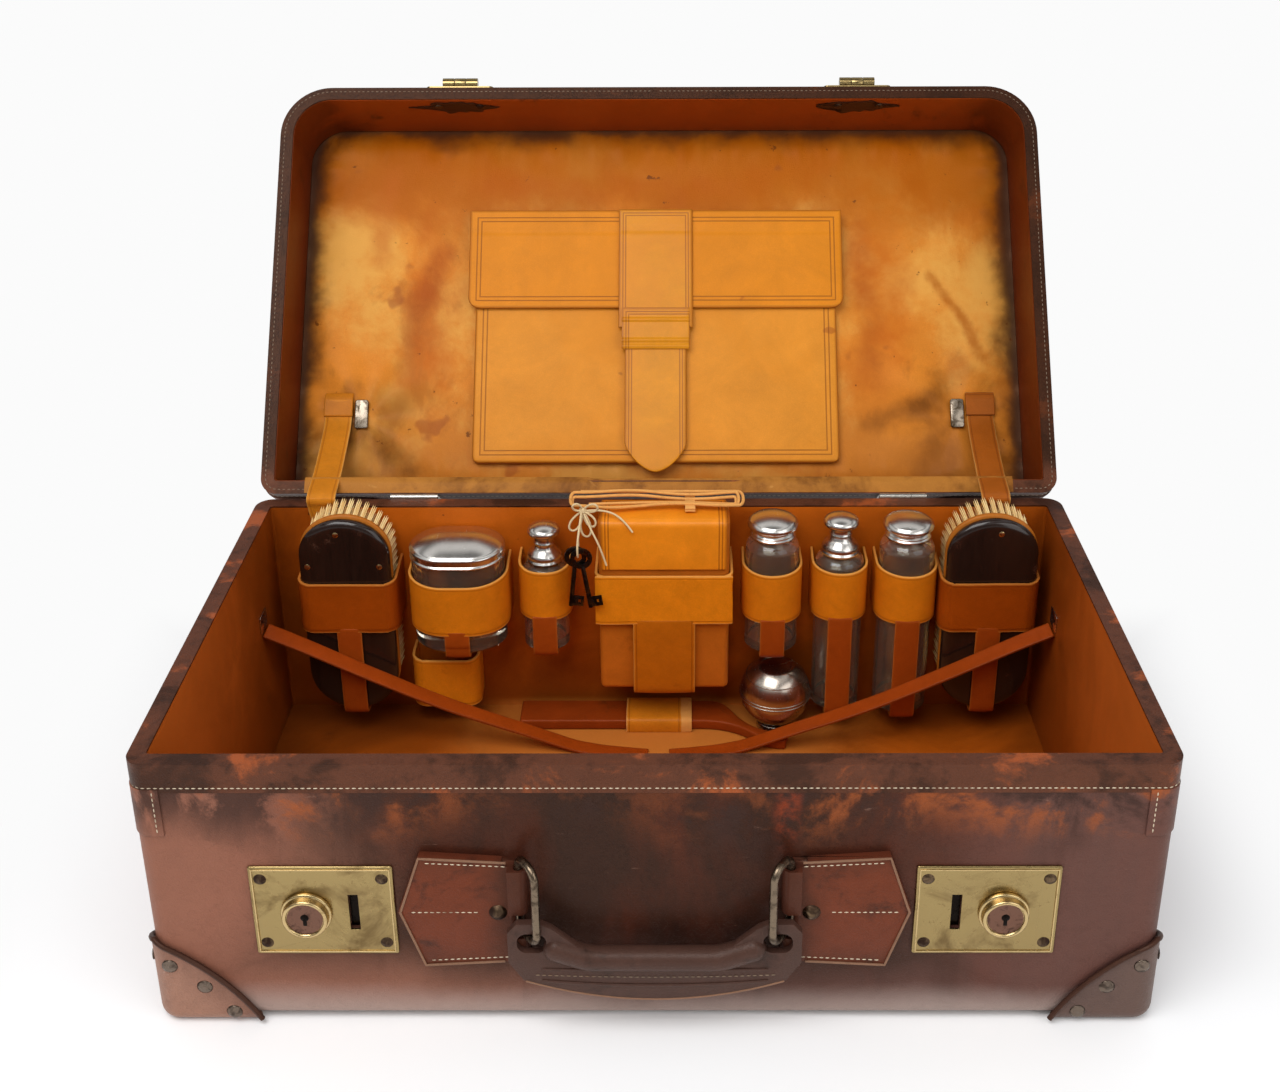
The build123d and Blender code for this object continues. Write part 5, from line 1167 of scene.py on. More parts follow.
def keyhole(a):
    """Round hole with a slot below it."""
    down = -math.sin(a)
    slot = min(5.4, 1.05 / max(abs(math.cos(a)), 0.01)) if down > 0 else 0.0
    return max(2.3, slot)


for side, sx in (("left", -1), ("right", 1)):
    at, face = (sx * 191.0, front_y - 1.7, 79.0), (sx * 191.0, front_y - 1.7 - 5.35, 79.0)
    turned("nozzle_" + side, at, (0, -1, 0), NOZZLE, side + "_nozzle", bright_brass,
           ("lock_nozzle_" + side,))
    turned("nozzle_face_" + side, face, (0, -1, 0), [(0, 0), (9.9, 0), (9.9, 0.25), (9.2, 0.4), (8.8, 0.3), (0, 0.3)],
           side + "_nozzle", nozzle_face)
    # Each keyhole is a thin black disc: painted shade of the hole.
    hole = turned("keyhole_" + side, (sx * 191.0, face[1] - 0.28, 80.2), (0, -1, 0),
                  [(0, 0), (0.94, 0), (1.0, 0.06), (0.94, 0.14), (0, 0.14)], side + "_nozzle", hole_shade,
                  outline=keyhole)

# ------------------------------------------------------------------ brushes' backs: ebony, a tan layer, brass pins
for side, x, pins in (("left", -214.0, ((-218, 174), (-239, 149.5), (-190, 149.5))), ("right", 228.0, ((232, 174),))):
    def ebony_shape(p):
        high = 114 + (p.z - 114) * (0.87 if p.z > 114 else 1.0)
        return (x + (p.x - x) * 0.985, 103.9 + (p.y - 103.9) * 0.5, high)

    def tan_shape(p):
        high = 114 + (p.z - 114) * (0.885 if p.z > 114 else 1.0)
        return (p.x, 111.0 + (p.y - 103.9) / 14 * 4.2, high)
    worked_copy("brush_%s_back" % side, "tan_layer_" + side, side + "_brush", brush_base, 0.6, 2,
                reshape=tan_shape, stands=False)
    worked_copy("brush_%s_back" % side, "ebony_back_" + side, side + "_brush", ebony, 1.6, 3,
                reshape=ebony_shape)
    for k, (px, pz) in enumerate(pins):
        turned("brush_pin_%s_%d" % (side, k), (px, 104.1, pz), (0, -1, 0), [(0, 0), (2.1, 0), (2.0, 0.35), (1.5, 0.6), (0, 0.7)],
               side + "_brush", bright_brass, around=24)

# leather facing of the lid's inner walls
inner = rounded_outline(case_w - 16.6, case_d - 16.6, 2.0, 27.7)
lid_facing = open_lid(band_round("lid_wall_facing", inner, lid_z0 + 1.0, lid_z1 - 8.4, 0.5))
done(lid_facing, "lid", lid_board_hide)


# ------------------------------------------------------------------ padded lining of the lid
def disc_corner(x, y, half_w, half_d, r, only_front=True):
    """Moves a point of a rectangle so that the front corners become round."""
    if abs(x) > half_w - r and y < -half_d + r:
        a, b = (abs(x) - half_w + r) / r, (-half_d + r - y) / r
        x = math.copysign(half_w - r + r * a * math.sqrt(1 - b * b / 2), x)
        y = -half_d + r - r * b * math.sqrt(1 - a * a / 2)
    return x, y


def lining_panel():
    half_w, half_d, r = (case_w - 16.6) / 2 - 0.4, (case_d - 16.6) / 2 - 0.4, 27.3
    ob = grid("padded_lid_lining", 200, 110)
    border, face = lid_z1 - 8.0, pad_face

    def rule(u, v):
        x, y = disc_corner((2 * u - 1) * half_w, (2 * v - 1) * half_d, half_w, half_d, r)
        near = min(half_w - abs(x), half_d - abs(y))
        if abs(x) > half_w - r and y < -half_d + r:
            near = r - math.hypot(abs(x) - half_w + r, -half_d + r - y)
        t = min(max((near - 3.5) / 17.0, 0), 1)
        rise = math.sin(t * math.pi / 2) ** 0.9 if t > 0 else 0
        along = x if half_d - abs(y) < half_w - abs(x) else y
        seed = 3.0 if half_d - abs(y) < half_w - abs(x) else 9.0
        s = noise.noise(Vector((along * 0.085, seed, near * 0.02)))
        s2 = noise.noise(Vector((along * 0.24, seed + 4, near * 0.03)))
        pucker = (2.2 * s + 1.0 * s2) * math.exp(-((near - 12) / 12.0) ** 2)
        pull = math.hypot(abs(x) - 222, y - 88)
        fold = 2.4 * math.sin(math.atan2(y - 88, abs(x) - 222) * 5.0 + 1.0) * math.exp(-((pull - 38) / 26) ** 2)
        broad = 1.5 * noise.noise(Vector((x * 0.014, y * 0.016, 2.0))) + 0.4 * noise.noise(
            Vector((x * 0.05, y * 0.05, 5.0))) + (fold if abs(x) > 150 else 0.0)
        z = border + (face - border) * rise + (pucker if near > 2 else 0)
        z -= (broad - 0.9) * t
        under = abs(x - folder_x) < 146 and -80 < y < 128
        return (x, y, max(z, face) if under else z)
    lay(ob, rule)
    real_uv(ob, 544.0, 289.0)
    modifier(ob, "SOLIDIFY", thickness=1.2 * MM, offset=1.0)
    apply_all(ob)
    outward(ob)
    open_lid(ob)
    done(ob, "lid", pad_hide, ("lid_lining",), angle=60)
    return ob


lining_panel()


# ------------------------------------------------------------------ folder on the lid
def slab(name, x0, x1, y0, y1, z_mid, thick, mat, body, nodes=(), bevel=0.8, nu=60, nv=40, corner=0.0,
         nose=0.0, shape=None):
    """Flat sewn leather piece of the folder; corner and nose round its lower end."""
    ob = grid(name, nu, nv)
    half, mid = (x1 - x0) / 2, (x0 + x1) / 2

    def rule(u, v):
        x, y = mid + (2 * u - 1) * half, y0 + (y1 - y0) * v
        if corner and y > y1 - corner and abs(x - mid) > half - corner:
            a, b = (abs(x - mid) - half + corner) / corner, (y - y1 + corner) / corner
            x = mid + math.copysign(half - corner + corner * a * math.sqrt(1 - b * b / 2), x - mid)
            y = y1 - corner + corner * b * math.sqrt(1 - a * a / 2)
        if nose:
            k = (x - mid) / half
            y = y0 + (y1 - nose * (0.45 * abs(k) ** 1.6 + 0.55 * (1 - math.sqrt(max(1 - k * k * 0.97, 0)))) - y0) * v
        z = z_mid + (shape(x, y, u, v) if shape else 0.0)
        return (x, y, z)
    lay(ob, rule)
    real_uv(ob, x1 - x0, y1 - y0)
    modifier(ob, "SOLIDIFY", thickness=thick * MM, offset=0.0)
    modifier(ob, "BEVEL", width=bevel * MM, segments=3, limit_method="ANGLE", angle_limit=math.radians(50))
    apply_all(ob)
    outward(ob)
    open_lid(ob)
    return done(ob, body, mat, nodes, angle=50)


fy0, fy1 = back_y - 226, back_y - 30


def soft(amount, scale=0.03, seed=0.0):
    return lambda x, y, u, v: amount * noise.noise(Vector((x * scale, y * scale, seed)))


slab("folder_pocket", folder_x - 136.5, folder_x + 136.5, fy0, fy1, pad_face - 3.2, 5.4, folder_hide, "lid",
     ("folder_body",), 1.6, corner=4.0, shape=soft(0.35, 0.02, 1.0))
flap_z = pad_face - 6.4


def flap_shape(x, y, u, v):
    curl = -0.9 * max((v - 0.8) / 0.2, 0) ** 2
    gusset = 0.55 * math.exp(-((y - fy0 - 17) / 1.3) ** 2)
    return curl * 0.6 + gusset + 0.25 * noise.noise(Vector((x * 0.03, y * 0.04, 7.0)))


slab("folder_flap_leather", folder_x - 142, folder_x + 142, fy0, fy0 + 78, flap_z - 1.5, 2.5, flap_hide, "flap",
     ("folder_flap",), 0.8, corner=9.0, shape=flap_shape)
strap_top = flap_z - 3.0
strap_hide = leather("folder_strap_hide", "cc8812", "b8741a", "da9c30", 0.15, 0.15, 14.0, 1300.0, 0.2, 0.25,
                     bordered(56, 94, 3.2, 2.0, "8a4a14"))
tongue_hide = leather("folder_tongue_hide", "cc8812", "b8741a", "da9c30", 0.15, 0.15, 14.0, 1300.0, 0.2, 0.25,
                      bordered(46, 130, 3.0, 2.0, "8a4a14"))
slab("folder_strap_upper", folder_x - 28, folder_x + 28, fy0, fy0 + 94, strap_top - 1.2, 2.2, strap_hide, "flap",
     ("folder_strap",), 0.7, nu=24, shape=lambda x, y, u, v: 0.7 * math.exp(-((y - fy0 - 17) / 1.4) ** 2))
slab("folder_tongue", folder_x - 23, folder_x + 23, fy0 + 80, fy1 + 8, strap_top - 1.25, 2.1, tongue_hide, "flap",
     (), 0.7, nu=24, nose=24.0)


def keeper_shape(x, y, u, v):
    """Rolled ridges across the keeper."""
    z = 0.0
    for at, high in ((10.0, 0.8), (26.0, 0.9), (30.5, 0.7)):
        z -= high * math.exp(-((y - fy0 - 78 - at) / 1.1) ** 2)
    return z


slab("folder_keeper", folder_x - 25.5, folder_x + 25.5, fy0 + 78.6, fy0 + 110.5, strap_top - 2.6, 1.9, strap_hide,
     "flap", (), 0.6, nu=24, nv=64, shape=keeper_shape)


# ------------------------------------------------------------------ loops and slings on the back wall
def wall_loop(name, x, half_w, front, z, h, r, mat=loop_strap, nodes=(), dip=2.2):
    """Loop of leather from the wall round the front of a piece and back to the wall."""
    w, f = half_w + 1.0, front + 1.0
    r = min(r + 1.0, w - 0.5)
    pts = [(x - w, wall_y, 0), (x - w, wall_y - (f - r) * 0.5, 0)]
    for cx, a0 in ((x - w + r, 180), (x + w - r, 270)):
        for k in range(9):
            a = math.radians(a0 + 90 * k / 8)
            pts.append((cx + r * math.cos(a), wall_y - f + r + r * math.sin(a), 0))
    pts += [(x + w, wall_y - (f - r) * 0.5, 0), (x + w, wall_y, 0)]
    path, length = resample(pts, 73)
    ob = grid(name, 72, 10)

    def rule(u, v):
        p = path[min(int(round(u * 72)), 72)]
        a, b = path[max(int(round(u * 72)) - 1, 0)], path[min(int(round(u * 72)) + 1, 72)]
        t = (b - a).normalized()
        n = Vector((t.y, -t.x, 0))
        out = (wall_y - p.y) / f
        low = z + 0.6 * noise.noise(Vector((u * 5, x, 0)))
        high = z + h - dip * out ** 2 + 0.5 * noise.noise(Vector((u * 4, x, 3)))
        k = 2 * v - 1
        crease = 0.16 * math.sin(v * 34 + 2.5 * noise.noise(Vector((u * 3, v, x)))) * (1 - k * k)
        flare = 0.5 * abs(k) ** 5 * out + 0.35 * noise.noise(Vector((u * 7, v * 2, x * 0.1)))
        q = p + n * (crease * 0.5 + flare * 0.7)
        return (q.x, min(q.y, wall_y - 0.1), low + (high - low) * v)
    lay(ob, rule)
    real_uv(ob, length, 40.0)
    modifier(ob, "SOLIDIFY", thickness=1.8 * MM, offset=0.0)
    modifier(ob, "BEVEL", width=0.55 * MM, segments=2, limit_method="ANGLE", angle_limit=math.radians(50))
    apply_all(ob)
    outward(ob)
    return done(ob, "base", mat, nodes, angle=50)


def wall_sling(name, x, width, front, z_low, z_high):
    """Sling strip: from under the loop, down, and back beneath the piece to the wall."""
    y0 = wall_y - front - 1.1
    pts = [(x, y0, z_high + 3), (x, y0 - 0.4, z_high - 8), (x, y0 - 0.3, (z_high + z_low) / 2), (x, y0, z_low + 7),
           (x, y0 + 0.8, z_low + 1.2), (x, y0 + 4, z_low - 1.0), (x, y0 + front * 0.5, z_low - 1.1),
           (x, wall_y - 0.3, z_low - 1.0)]
    mat = wide_sling if width > 30 else shaded_sling_strap
    return strip(name, pts, (1, 0, 0), width, 1.7, "base", mat, nu=44, nv=6, crown=0.5)


def held(name, x, w, d, bottom, z=loop_z, h=loop_h, width=17.0, r=None, nodes=(), mat=loop_strap):
    front = d + 0.8
    wall_loop(name + "_loop", x, w / 2 + 0.4, front, z, h, w / 2 + 0.4 if r is None else r, mat, nodes)
    wall_sling(name + "_sling", x, width, front, bottom - 0.3, z)


held("brush_left", -214.0, 63.0, 38.7, 34.0, 99.0, r=8.4, nodes=("brush_loops",), mat=end_loop_shaded_strap)
held("brush_right", 228.0, 63.0, 38.7, 34.0, 99.0, r=8.4, mat=end_loop_shaded_strap)
held("jar", -138.0, 64.0, 49.0, 86.0, 102.0, r=24.0, nodes=("jar_loop",))
held("short_bottle", -79.0, 32.0, 32.0, 77.0, nodes=("bottle_loops",))
held("second_bottle", 79.0, 37.0, 37.0, 78.0)
held("third_bottle", 126.0, 34.0, 34.0, 29.0)
held("fourth_bottle", 172.0, 38.0, 38.0, 29.0)
held("wallet", 4.0, 90.0, 36.4, 48.0, width=43.0, r=5.0, nodes=("wallet_loop",), mat=broad_loop)
wall_loop("spare_loop_leather", -152.0, 22.0, 24.0, 28.0, loop_h, 8.0, nodes=("spare_loop",))

# flap of the wallet: over the top edge and down the front
wy0 = wall_y - 0.4 - 34.0
flap_pts = [(4, wall_y - 4, 181.9), (4, wall_y - 18, 182.1), (4, wy0 + 3, 182.0), (4, wy0 - 0.2, 181.0), (4, wy0 - 1.5, 178.4),
            (4, wy0 - 1.6, 168), (4, wy0 - 1.7, 156), (4, wy0 - 1.5, 145.6)]
wallet_flap_hide = leather("wallet_flap_hide", "e8901e", "b86a16", "eeaa50", 0.18, 0.15, 18.0, 1400.0, 0.2, 0.3,
                           bordered(200, 86, 3.2, 2.2, "8a4a12"))
strip("wallet_flap_leather", flap_pts, (1, 0, 0), 86, 2.0, "wallet", wallet_flap_hide,
      ("wallet_flap",), nu=48, nv=30, wave=0.25)

# loop over the sleeve on the floor
sy1 = wall_y - 6 + 1
arch = [(0, sy1 + 1, 11.6), (0, sy1 + 1, 17), (0, sy1 - 1.2, 20.6), (0, sy1 - 4.5, 21.4), (0, sy1 - 14, 21.6), (0, sy1 - 24.5, 21.4),
        (0, sy1 - 27.8, 20.4), (0, sy1 - 29, 17), (0, sy1 - 29, 11.6)]
strip("floor_loop_leather", arch, (1, 0, 0), 47, 1.8, "base", tan_strap, ("floor_loop",), nu=40)


# ------------------------------------------------------------------ stays and packing straps
def lid_point(x, d, z):
    return opened((x, back_y - d, z))


for side, sx in (("left", -1), ("right", 1)):
    top = Vector(lid_point(sx * 240, 79, pad_face - 2.6))
    up = Vector(lid_point(sx * 240, 60, pad_face - 2.9))
    over = Vector((sx * 234, wall_y - 1.6, rim_z + 5.0))
    stay = strip("stay_" + side, [top, up.lerp(over, 0.02), up.lerp(over, 0.6) + Vector((0, -1.5, -1.0)),
                                  over + Vector((0, -0.4, 3.5)), over + Vector((0, -0.6, -4)),
                                  (sx * 232, wall_y - 1.05, rim_z - 12), (sx * 232, wall_y - 1.0, rim_z - 24)],
                 (1, 0, 0), 20, 1.9, None, stay_strap if sx < 0 else stay_right, ("stays",) if sx < 0 else (), nu=60,
                 crown=0.4)
    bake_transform(stay)
    slab("stay_tab_" + side, min(sx * 229.5, sx * 251), max(sx * 229.5, sx * 251), back_y - 84, back_y - 66, pad_face - 2.6,
         2.2, stay_tab if sx < 0 else stay_right, "lid", (), 0.7, nu=24, nv=12,
         shape=lambda px, py, u, v: 2.4 * max(1 - v * 2.5, 0) ** 2)
    sag = Vector((0, 0, -7))
    a, b = Vector((sx * (in_x - 1.5), 93, 106)), Vector((sx * 62, 88, floor_z + 4))
    pack = strip("packing_strap_" + side,
                 [a, a.lerp(b, 0.12) + sag * 0.1, a.lerp(b, 0.35) + sag * 0.5, a.lerp(b, 0.6) + sag * 0.7,
                  a.lerp(b, 0.85) + sag * 0.25, b, (sx * 48, 86, floor_z + 1.8), (sx * 36, 84, floor_z + 1.1),
                  (sx * 8, 80, floor_z + 1.1)], ((0, 1, 0.4), (0, 1, 0)), 12, 1.9, "base", packing_hide,
                 ("packing_straps",) if sx < 0 else (), nu=80, crown=0.25)


# ------------------------------------------------------------------ brushes' bristles
def bristle_field(name, x, body, node):
    """Rings of stout tufts following the back's oval, each a spray that leans outwards."""
    random.seed(name)
    y0 = wall_y - 0.4 - 27.4
    frames = []
    hair = np.array([(0.5, 0, 0), (-0.25, 0.43, 0), (-0.25, -0.43, 0), (0.42, 0, 0.8), (-0.21, 0.36, 0.8),
                     (-0.21, -0.36, 0.8), (0, 0, 1)])
    hair_faces = [(0, 1, 4, 3), (1, 2, 5, 4), (2, 0, 3, 5), (3, 4, 6), (4, 5, 6), (5, 3, 6), (2, 1, 0)]
    for ring in range(6):
        r = 27.0 - ring * 4.7
        run, top, low = 2 * math.pi * r, 182.0 - 27.5, 37.0 + 27.5
        total = run + 2 * (top - low)
        count = max(int(total / 5.0), 3)
        for k in range(count):
            s = (k + 0.5 * (ring % 2)) / count * total
            if s < run / 2:
                a = s / r
                px, pz, out = r * math.cos(a), top + r * math.sin(a), (math.cos(a), math.sin(a))
            elif s < run / 2 + top - low:
                px, pz, out = -r, top - (s - run / 2), (-1.0, 0.0)
            elif s < run + top - low:
                a = math.pi + (s - run / 2 - top + low) / r
                px, pz, out = r * math.cos(a), low + r * math.sin(a), (math.cos(a), math.sin(a))
            else:
                px, pz, out = r, low + (s - run - top + low), (1.0, 0.0)
            lean = 2.4 * (1 - ring / 6) + random.uniform(-0.3, 0.3)
            tall = 24.0 * random.uniform(0.95, 1.0)
            for h in range(7):
                b = 2 * math.pi * h / 6
                off = 0.0 if h == 6 else 1.0
                bx, bz = off * math.cos(b), off * math.sin(b)
                axis = Vector((out[0] * lean + bx * 0.45, tall - random.uniform(0, 0.8), out[1] * lean + bz * 0.45))
                base = Vector((x + px + bx, y0, pz + bz))
                side = Vector((1, 0, 0))
                frames.append(np.column_stack([side * 1.05, axis.cross(side).normalized() * 1.05, axis, base]))
    return many(name, hair, hair_faces, frames, body, bristle, (node,))


bristle_field("bristles_left", -214.0, "left_brush", "brush_left_bristles")
bristle_field("bristles_right", 228.0, "right_brush", "brush_right_bristles")


# ------------------------------------------------------------------ silver ball
def lathe_ball():
    """Round silver box: a ball cut flat on top with a raised ring, a seam bead and a turned foot."""
    z0 = floor_z + 6.0 + 25.0 - 1.5
    at = (83.0 * MM, (wall_y - 0.5 - 25.0) * MM, z0 * MM)
    clear()
    bpy.ops.mesh.primitive_uv_sphere_add(segments=96, ring_count=64, radius=25.0 * MM, location=at)
    ball = bpy.context.object
    ball.name = "silver_ball_box"
    bpy.ops.object.transform_apply(location=True, rotation=True, scale=True)
    bpy.ops.object.mode_set(mode="EDIT")
    bpy.ops.mesh.select_all(action="SELECT")
    bpy.ops.mesh.bisect(plane_co=(at[0], at[1], at[2] + 21.5 * MM), plane_no=(0, 0, 1), use_fill=True,
                        clear_outer=True)
    bpy.ops.mesh.inset(thickness=0.0016, depth=0.0)
    bpy.ops.mesh.inset(thickness=0.0008, depth=-0.0008)
    bpy.ops.object.mode_set(mode="OBJECT")
    parts = [ball]
    for z, major, minor in ((1.2, 25.0, 0.55), (-1.2, 25.0, 0.55), (14.0, 20.9, 0.45)):
        clear()
        bpy.ops.mesh.primitive_torus_add(location=(at[0], at[1], at[2] + z * MM), major_radius=major * MM,
                                         minor_radius=minor * MM, major_segments=96, minor_segments=10)
        bpy.ops.object.transform_apply(location=True, rotation=True, scale=True)
        parts.append(bpy.context.object)
    clear()
    bpy.ops.mesh.primitive_cylinder_add(vertices=64, radius=13.0 * MM, depth=6.0 * MM,
                                        location=(at[0], at[1], (floor_z + 3.15) * MM))
    foot = bpy.context.object
    bpy.ops.object.transform_apply(location=True, rotation=True, scale=True)
    modifier(foot, "BEVEL", width=0.0008, segments=3, limit_method="ANGLE", angle_limit=math.radians(50))
    apply_all(foot)
    parts.append(foot)
    ob = joined("silver_ball_box", parts)
    return done(ob, "ball", ball_silver, ("silver_ball",))


lathe_ball()

# ------------------------------------------------------------------ small leather trim
def on_face(name, cx, cz, w, h, y, thick, mat, body, lid=False, wobble=0.0, seed=0.0, worn=0.0):
    """Small flat leather piece standing against a wall of constant y, its outline a little uneven."""
    ob = grid(name, 28, 12)

    def rule(u, v):
        k = 1 + wobble * noise.noise(Vector((u * 5, v * 3, seed)))
        a, b = 2 * u - 1, 2 * v - 1
        return (cx + a * w / 2 * k * (1 - worn * 0.35 * b * b), y, cz + b * h / 2 * k * (1 - worn * 0.75 * a ** 4))
    lay(ob, rule)
    modifier(ob, "SOLIDIFY", thickness=thick * MM, offset=0.0)
    apply_all(ob)
    outward(ob)
    if lid:
        open_lid(ob)
    return done(ob, body, mat)


for side_name, sx in (("left", -1), ("right", 1)):
    # A thin black sheet in each lock slot: painted shade inside the slot.
    on_face("lock_slot_shadow_sheet_" + side_name, sx * 165.0, 79.0, 5.3, 23.9, front_y + 2.1, 0.1, hole_shade, "base")
    on_face("lid_hasp_patch_" + side_name, sx * 150.0, lid_z0 + 13.6, 58.0, 18.0, front_y + 9.0, 0.8, stained, "lid",
            True, 0.6, 3.0 * sx, 1.0)
    for k, x in enumerate((sx * 166.0, sx * 135.0)):
        turned("lid_hasp_rivet_%s_%d" % (side_name, k), opened((x, front_y + 9.2, lid_z0 + 11.6)),
               Vector(opened((x, 0, 0))) - Vector(opened((x, -1, 0))),
               [(0, -0.4), (3.4, -0.4), (3.3, 0.5), (2.6, 1.1), (1.4, 1.5), (0, 1.6)], "lid", dark_brass,
               around=32)
    tab = []
    for k in range(9):
        a = math.radians(90 * k / 8)
        tab.append((sx * (case_w / 2 - 10 + 10.5 * math.sin(a)), -case_d / 2 + 10 - 10.5 * math.cos(a), 145.0))
    tab = [(sx * (case_w / 2 - 17), front_y - 0.5, 145.0)] + tab + [(sx * (case_w / 2 + 0.5), front_y + 26, 145.0)]
    strip("corner_tab_" + side_name, tab, (0, 0, 1), 30.0, 0.9, "base", case_hide, nu=48, nv=10)
    stitches("corner_tab_stitches_" + side_name, [
        ([(sx * (case_w / 2 - 13.5), front_y - 1.0, 159.0 - k * 4.0) for k in range(8)], (0, -1, 0)),
        ([(sx * (case_w / 2 + 1.0), front_y + 22, 159.0 - k * 4.0) for k in range(8)], (sx, 0, 0))], "base", thread)
    for end, sy in (("front", -1), ("back", 1)):
        run, half_w, half_d = [], case_w / 2, case_d / 2
        for k in range(37):
            if k < 9 or k > 27:
                away = -133.5 * math.sin(math.radians(61.5 - 3.5 * (k if k < 9 else 36 - k)))
                x, y = (340 + away, half_d) if k < 9 else (half_w, 212.5 + away)
                high = math.sqrt(133.5 ** 2 - away ** 2) - 60
                side = (0, 1) if k < 9 else (1, 0)
            else:
                turn = math.radians(90 * (k - 8.5) / 19)
                side = (math.sin(turn), math.cos(turn))
                x, y = half_w - 10 + 10 * side[0], half_d - 10 + 10 * side[1]
                high = math.sqrt(133.5 ** 2 - max(340 - x, 212.5 - y) ** 2) - 60
            run.append((sx * (x + 2.4 * side[0]), sy * (y + 2.4 * side[1]), max(high, 1.7)))
        roll = cord_curve("patch_roll_%s_%s" % (side_name, end), run, 3.2)
        pick(roll)
        bpy.ops.object.convert(target="MESH")
        done(bpy.context.object, "base", edge_roll)

# strip of lining over the lid's hinge side, narrower where the wallet's back edge comes up beside it
ob = grid("hinge_side_lining", 120, 4)
lay(ob, lambda u, v: ((2 * u - 1) * 250.0,
                      back_y - (9.6 if abs((2 * u - 1) * 250.0 - 4.0) < 52.0 else 10.8) * (1 - v) + 0.6 * v,
                      lid_z0 - 0.2 + (2.2 * max(0.3 - v, 0) / 0.3)))
real_uv(ob, 544.0, 0.1)
modifier(ob, "SOLIDIFY", thickness=0.35 * MM, offset=0.0)
apply_all(ob)
outward(ob)
open_lid(ob)
done(ob, "lid", hinge_strip)

# ------------------------------------------------------------------ stitching
side_line = [thin_in(Vector((x, y, 0)))[:2] for x, y in rounded_outline(case_w + 2.4, case_d + 2.4, 11.2, 11.2, 4.0)]
stitches("base_band_stitches", [([(x, y, 161.0) for x, y in side_line + side_line[:1]], facing(None))], "base", thread)
lid_line = rounded_outline(case_w + 2.4, case_d + 2.4, 11.2, 37.2, 4.0)
stitches("lid_band_stitches", [([(x, y, lid_z0 + 11.3) for x, y in lid_line + lid_line[:1]], facing(None)),
                               ], "lid", thread, lid=True)
stitches("lid_rim_stitches", [([(x, y, lid_z0 + 0.12) for x, y in rounded_outline(case_w - 4, case_d - 4, 8, 34, 4.0)],
                               (0, 0, -1))], "lid", dull_thread, lid=True)

chape_rows = []
cy = front_y - 5.0
for sx in (-1, 1):
    for z0, z1 in ((113.0, 115.4), (51.0, 48.6)):
        chape_rows.append(([(sx * 80, cy, z0), (sx * 124.5, cy, z1)], (0, -1, 0)))
    chape_rows.append(([(sx * 96, cy, 82.0), (sx * 132, cy, 82.0)], (0, -1, 0)))
stitches("chape_stitches", chape_rows, "base", thread)
# A thin raised bead round each chape, coloured pale: a painted highlight along its raised edge.
for side_name, sx in (("left", -1), ("right", 1)):
    corners = [(80.0, 115.7), (127.0, 118.6), (138.9, 82.0), (127.0, 45.4), (80.0, 48.3)]
    edge_line = []
    for (ax, az), (bx, bz) in zip(corners, corners[1:]):
        edge_line += [(sx * (ax + (bx - ax) * k / 16), cy - 0.25, az + (bz - az) * k / 16) for k in range(16)]
    strip("chape_cut_edge_" + side_name, edge_line, (0, -1, 0), 0.7, 1.3, "base", cut_edge,
          smooth_path=False)

grip_line = []
for k in range(33):
    x = -66 + 132 * k / 32
    grip_line.append((x, -167.4, 47.4 - 1.5 * (1 - (x / 66) ** 2)))
stitches("grip_stitches", [(grip_line, (0, -1, 0))], "handle", dull_thread)
for k, (z0, bow) in enumerate(((43.2, 3.2), (51.2, 0.6))):
    fold = [(-62 + 124 * j / 32, -167.2, z0 - bow * (1 - ((j - 16) / 16) ** 2)) for j in range(33)]
    strip("grip_fold_%d" % k, fold, (0, 0, 1), 1.5, 0.9, "handle", grip_hide, nu=48, nv=4, crown=0.3)
edge_pts = []
for k in range(13):
    x = -71 + 142 * k / 12
    edge_pts.append((x, -165.0, 30.0 + 13.2 * (x / 72) ** 2))
strip("grip_cut_edge", edge_pts, (0, 1, 0), 4.9, 1.3, "handle", cut_edge, nu=48, nv=4)

# ------------------------------------------------------------------ cords are dressed and turned into meshes
bead_knot = None
clear()
bpy.ops.mesh.primitive_uv_sphere_add(segments=24, ring_count=16, radius=2.5 * MM, location=[c * MM for c in knot])
bead_knot = bpy.context.object
bead_knot.name = "string_knot"
bpy.ops.object.transform_apply(location=True, rotation=True, scale=True)
for p in bead_knot.data.vertices:
    d = p.co / MM - knot
    swirl = math.sin(3 * math.atan2(d.z, d.x) + d.y * 1.6)
    p.co = (knot + d * (1.0 + 0.12 * swirl)) * MM
bows = [bead_knot]
for k, (dx, dy, dz, wide) in enumerate(((-8, -3, -13, 3.4), (3, -4.5, -17, 3.6), (10, -3, 5, 3.0), (-6, -3, 6, 2.6),
                                        (8, -4.5, -9, 3.2))):
    far, out = Vector((dx, dy, dz)), Vector((dz, 0, -dx)).normalized() * wide
    bow = cord_curve("bow", [knot + v for v in (out * 0.1, far * 0.45 + out, far * 0.9 + out * 0.9, far * 1.04, far * 0.9
                                                - out * 0.9, far * 0.45 - out, out * -0.1)], 1.5)
    pick(bow)
    bpy.ops.object.convert(target="MESH")
    bows.append(bpy.context.object)
bead_knot = joined("string_knot", bows)
done(bead_knot, "lace", string_mat, ("string",))
tie = strip("lace_binding", [(22, lace_y - 7.4, 186.0), (22, lace_y - 6.9, 187.6), (22, lace_y + 2.7, 188.0),
                             (22, lace_y + 12.3, 187.6), (22, lace_y + 12.8, 186.0), (22, lace_y + 12.3, 184.4),
                             (22, lace_y + 2.7, 184.0), (22, lace_y - 6.9, 184.4), (22, lace_y - 7.4, 185.9)],
            (1, 0, 0), 7.0, 1.0, "lace", lace_hide, nu=48, nv=4, crown=0.2)


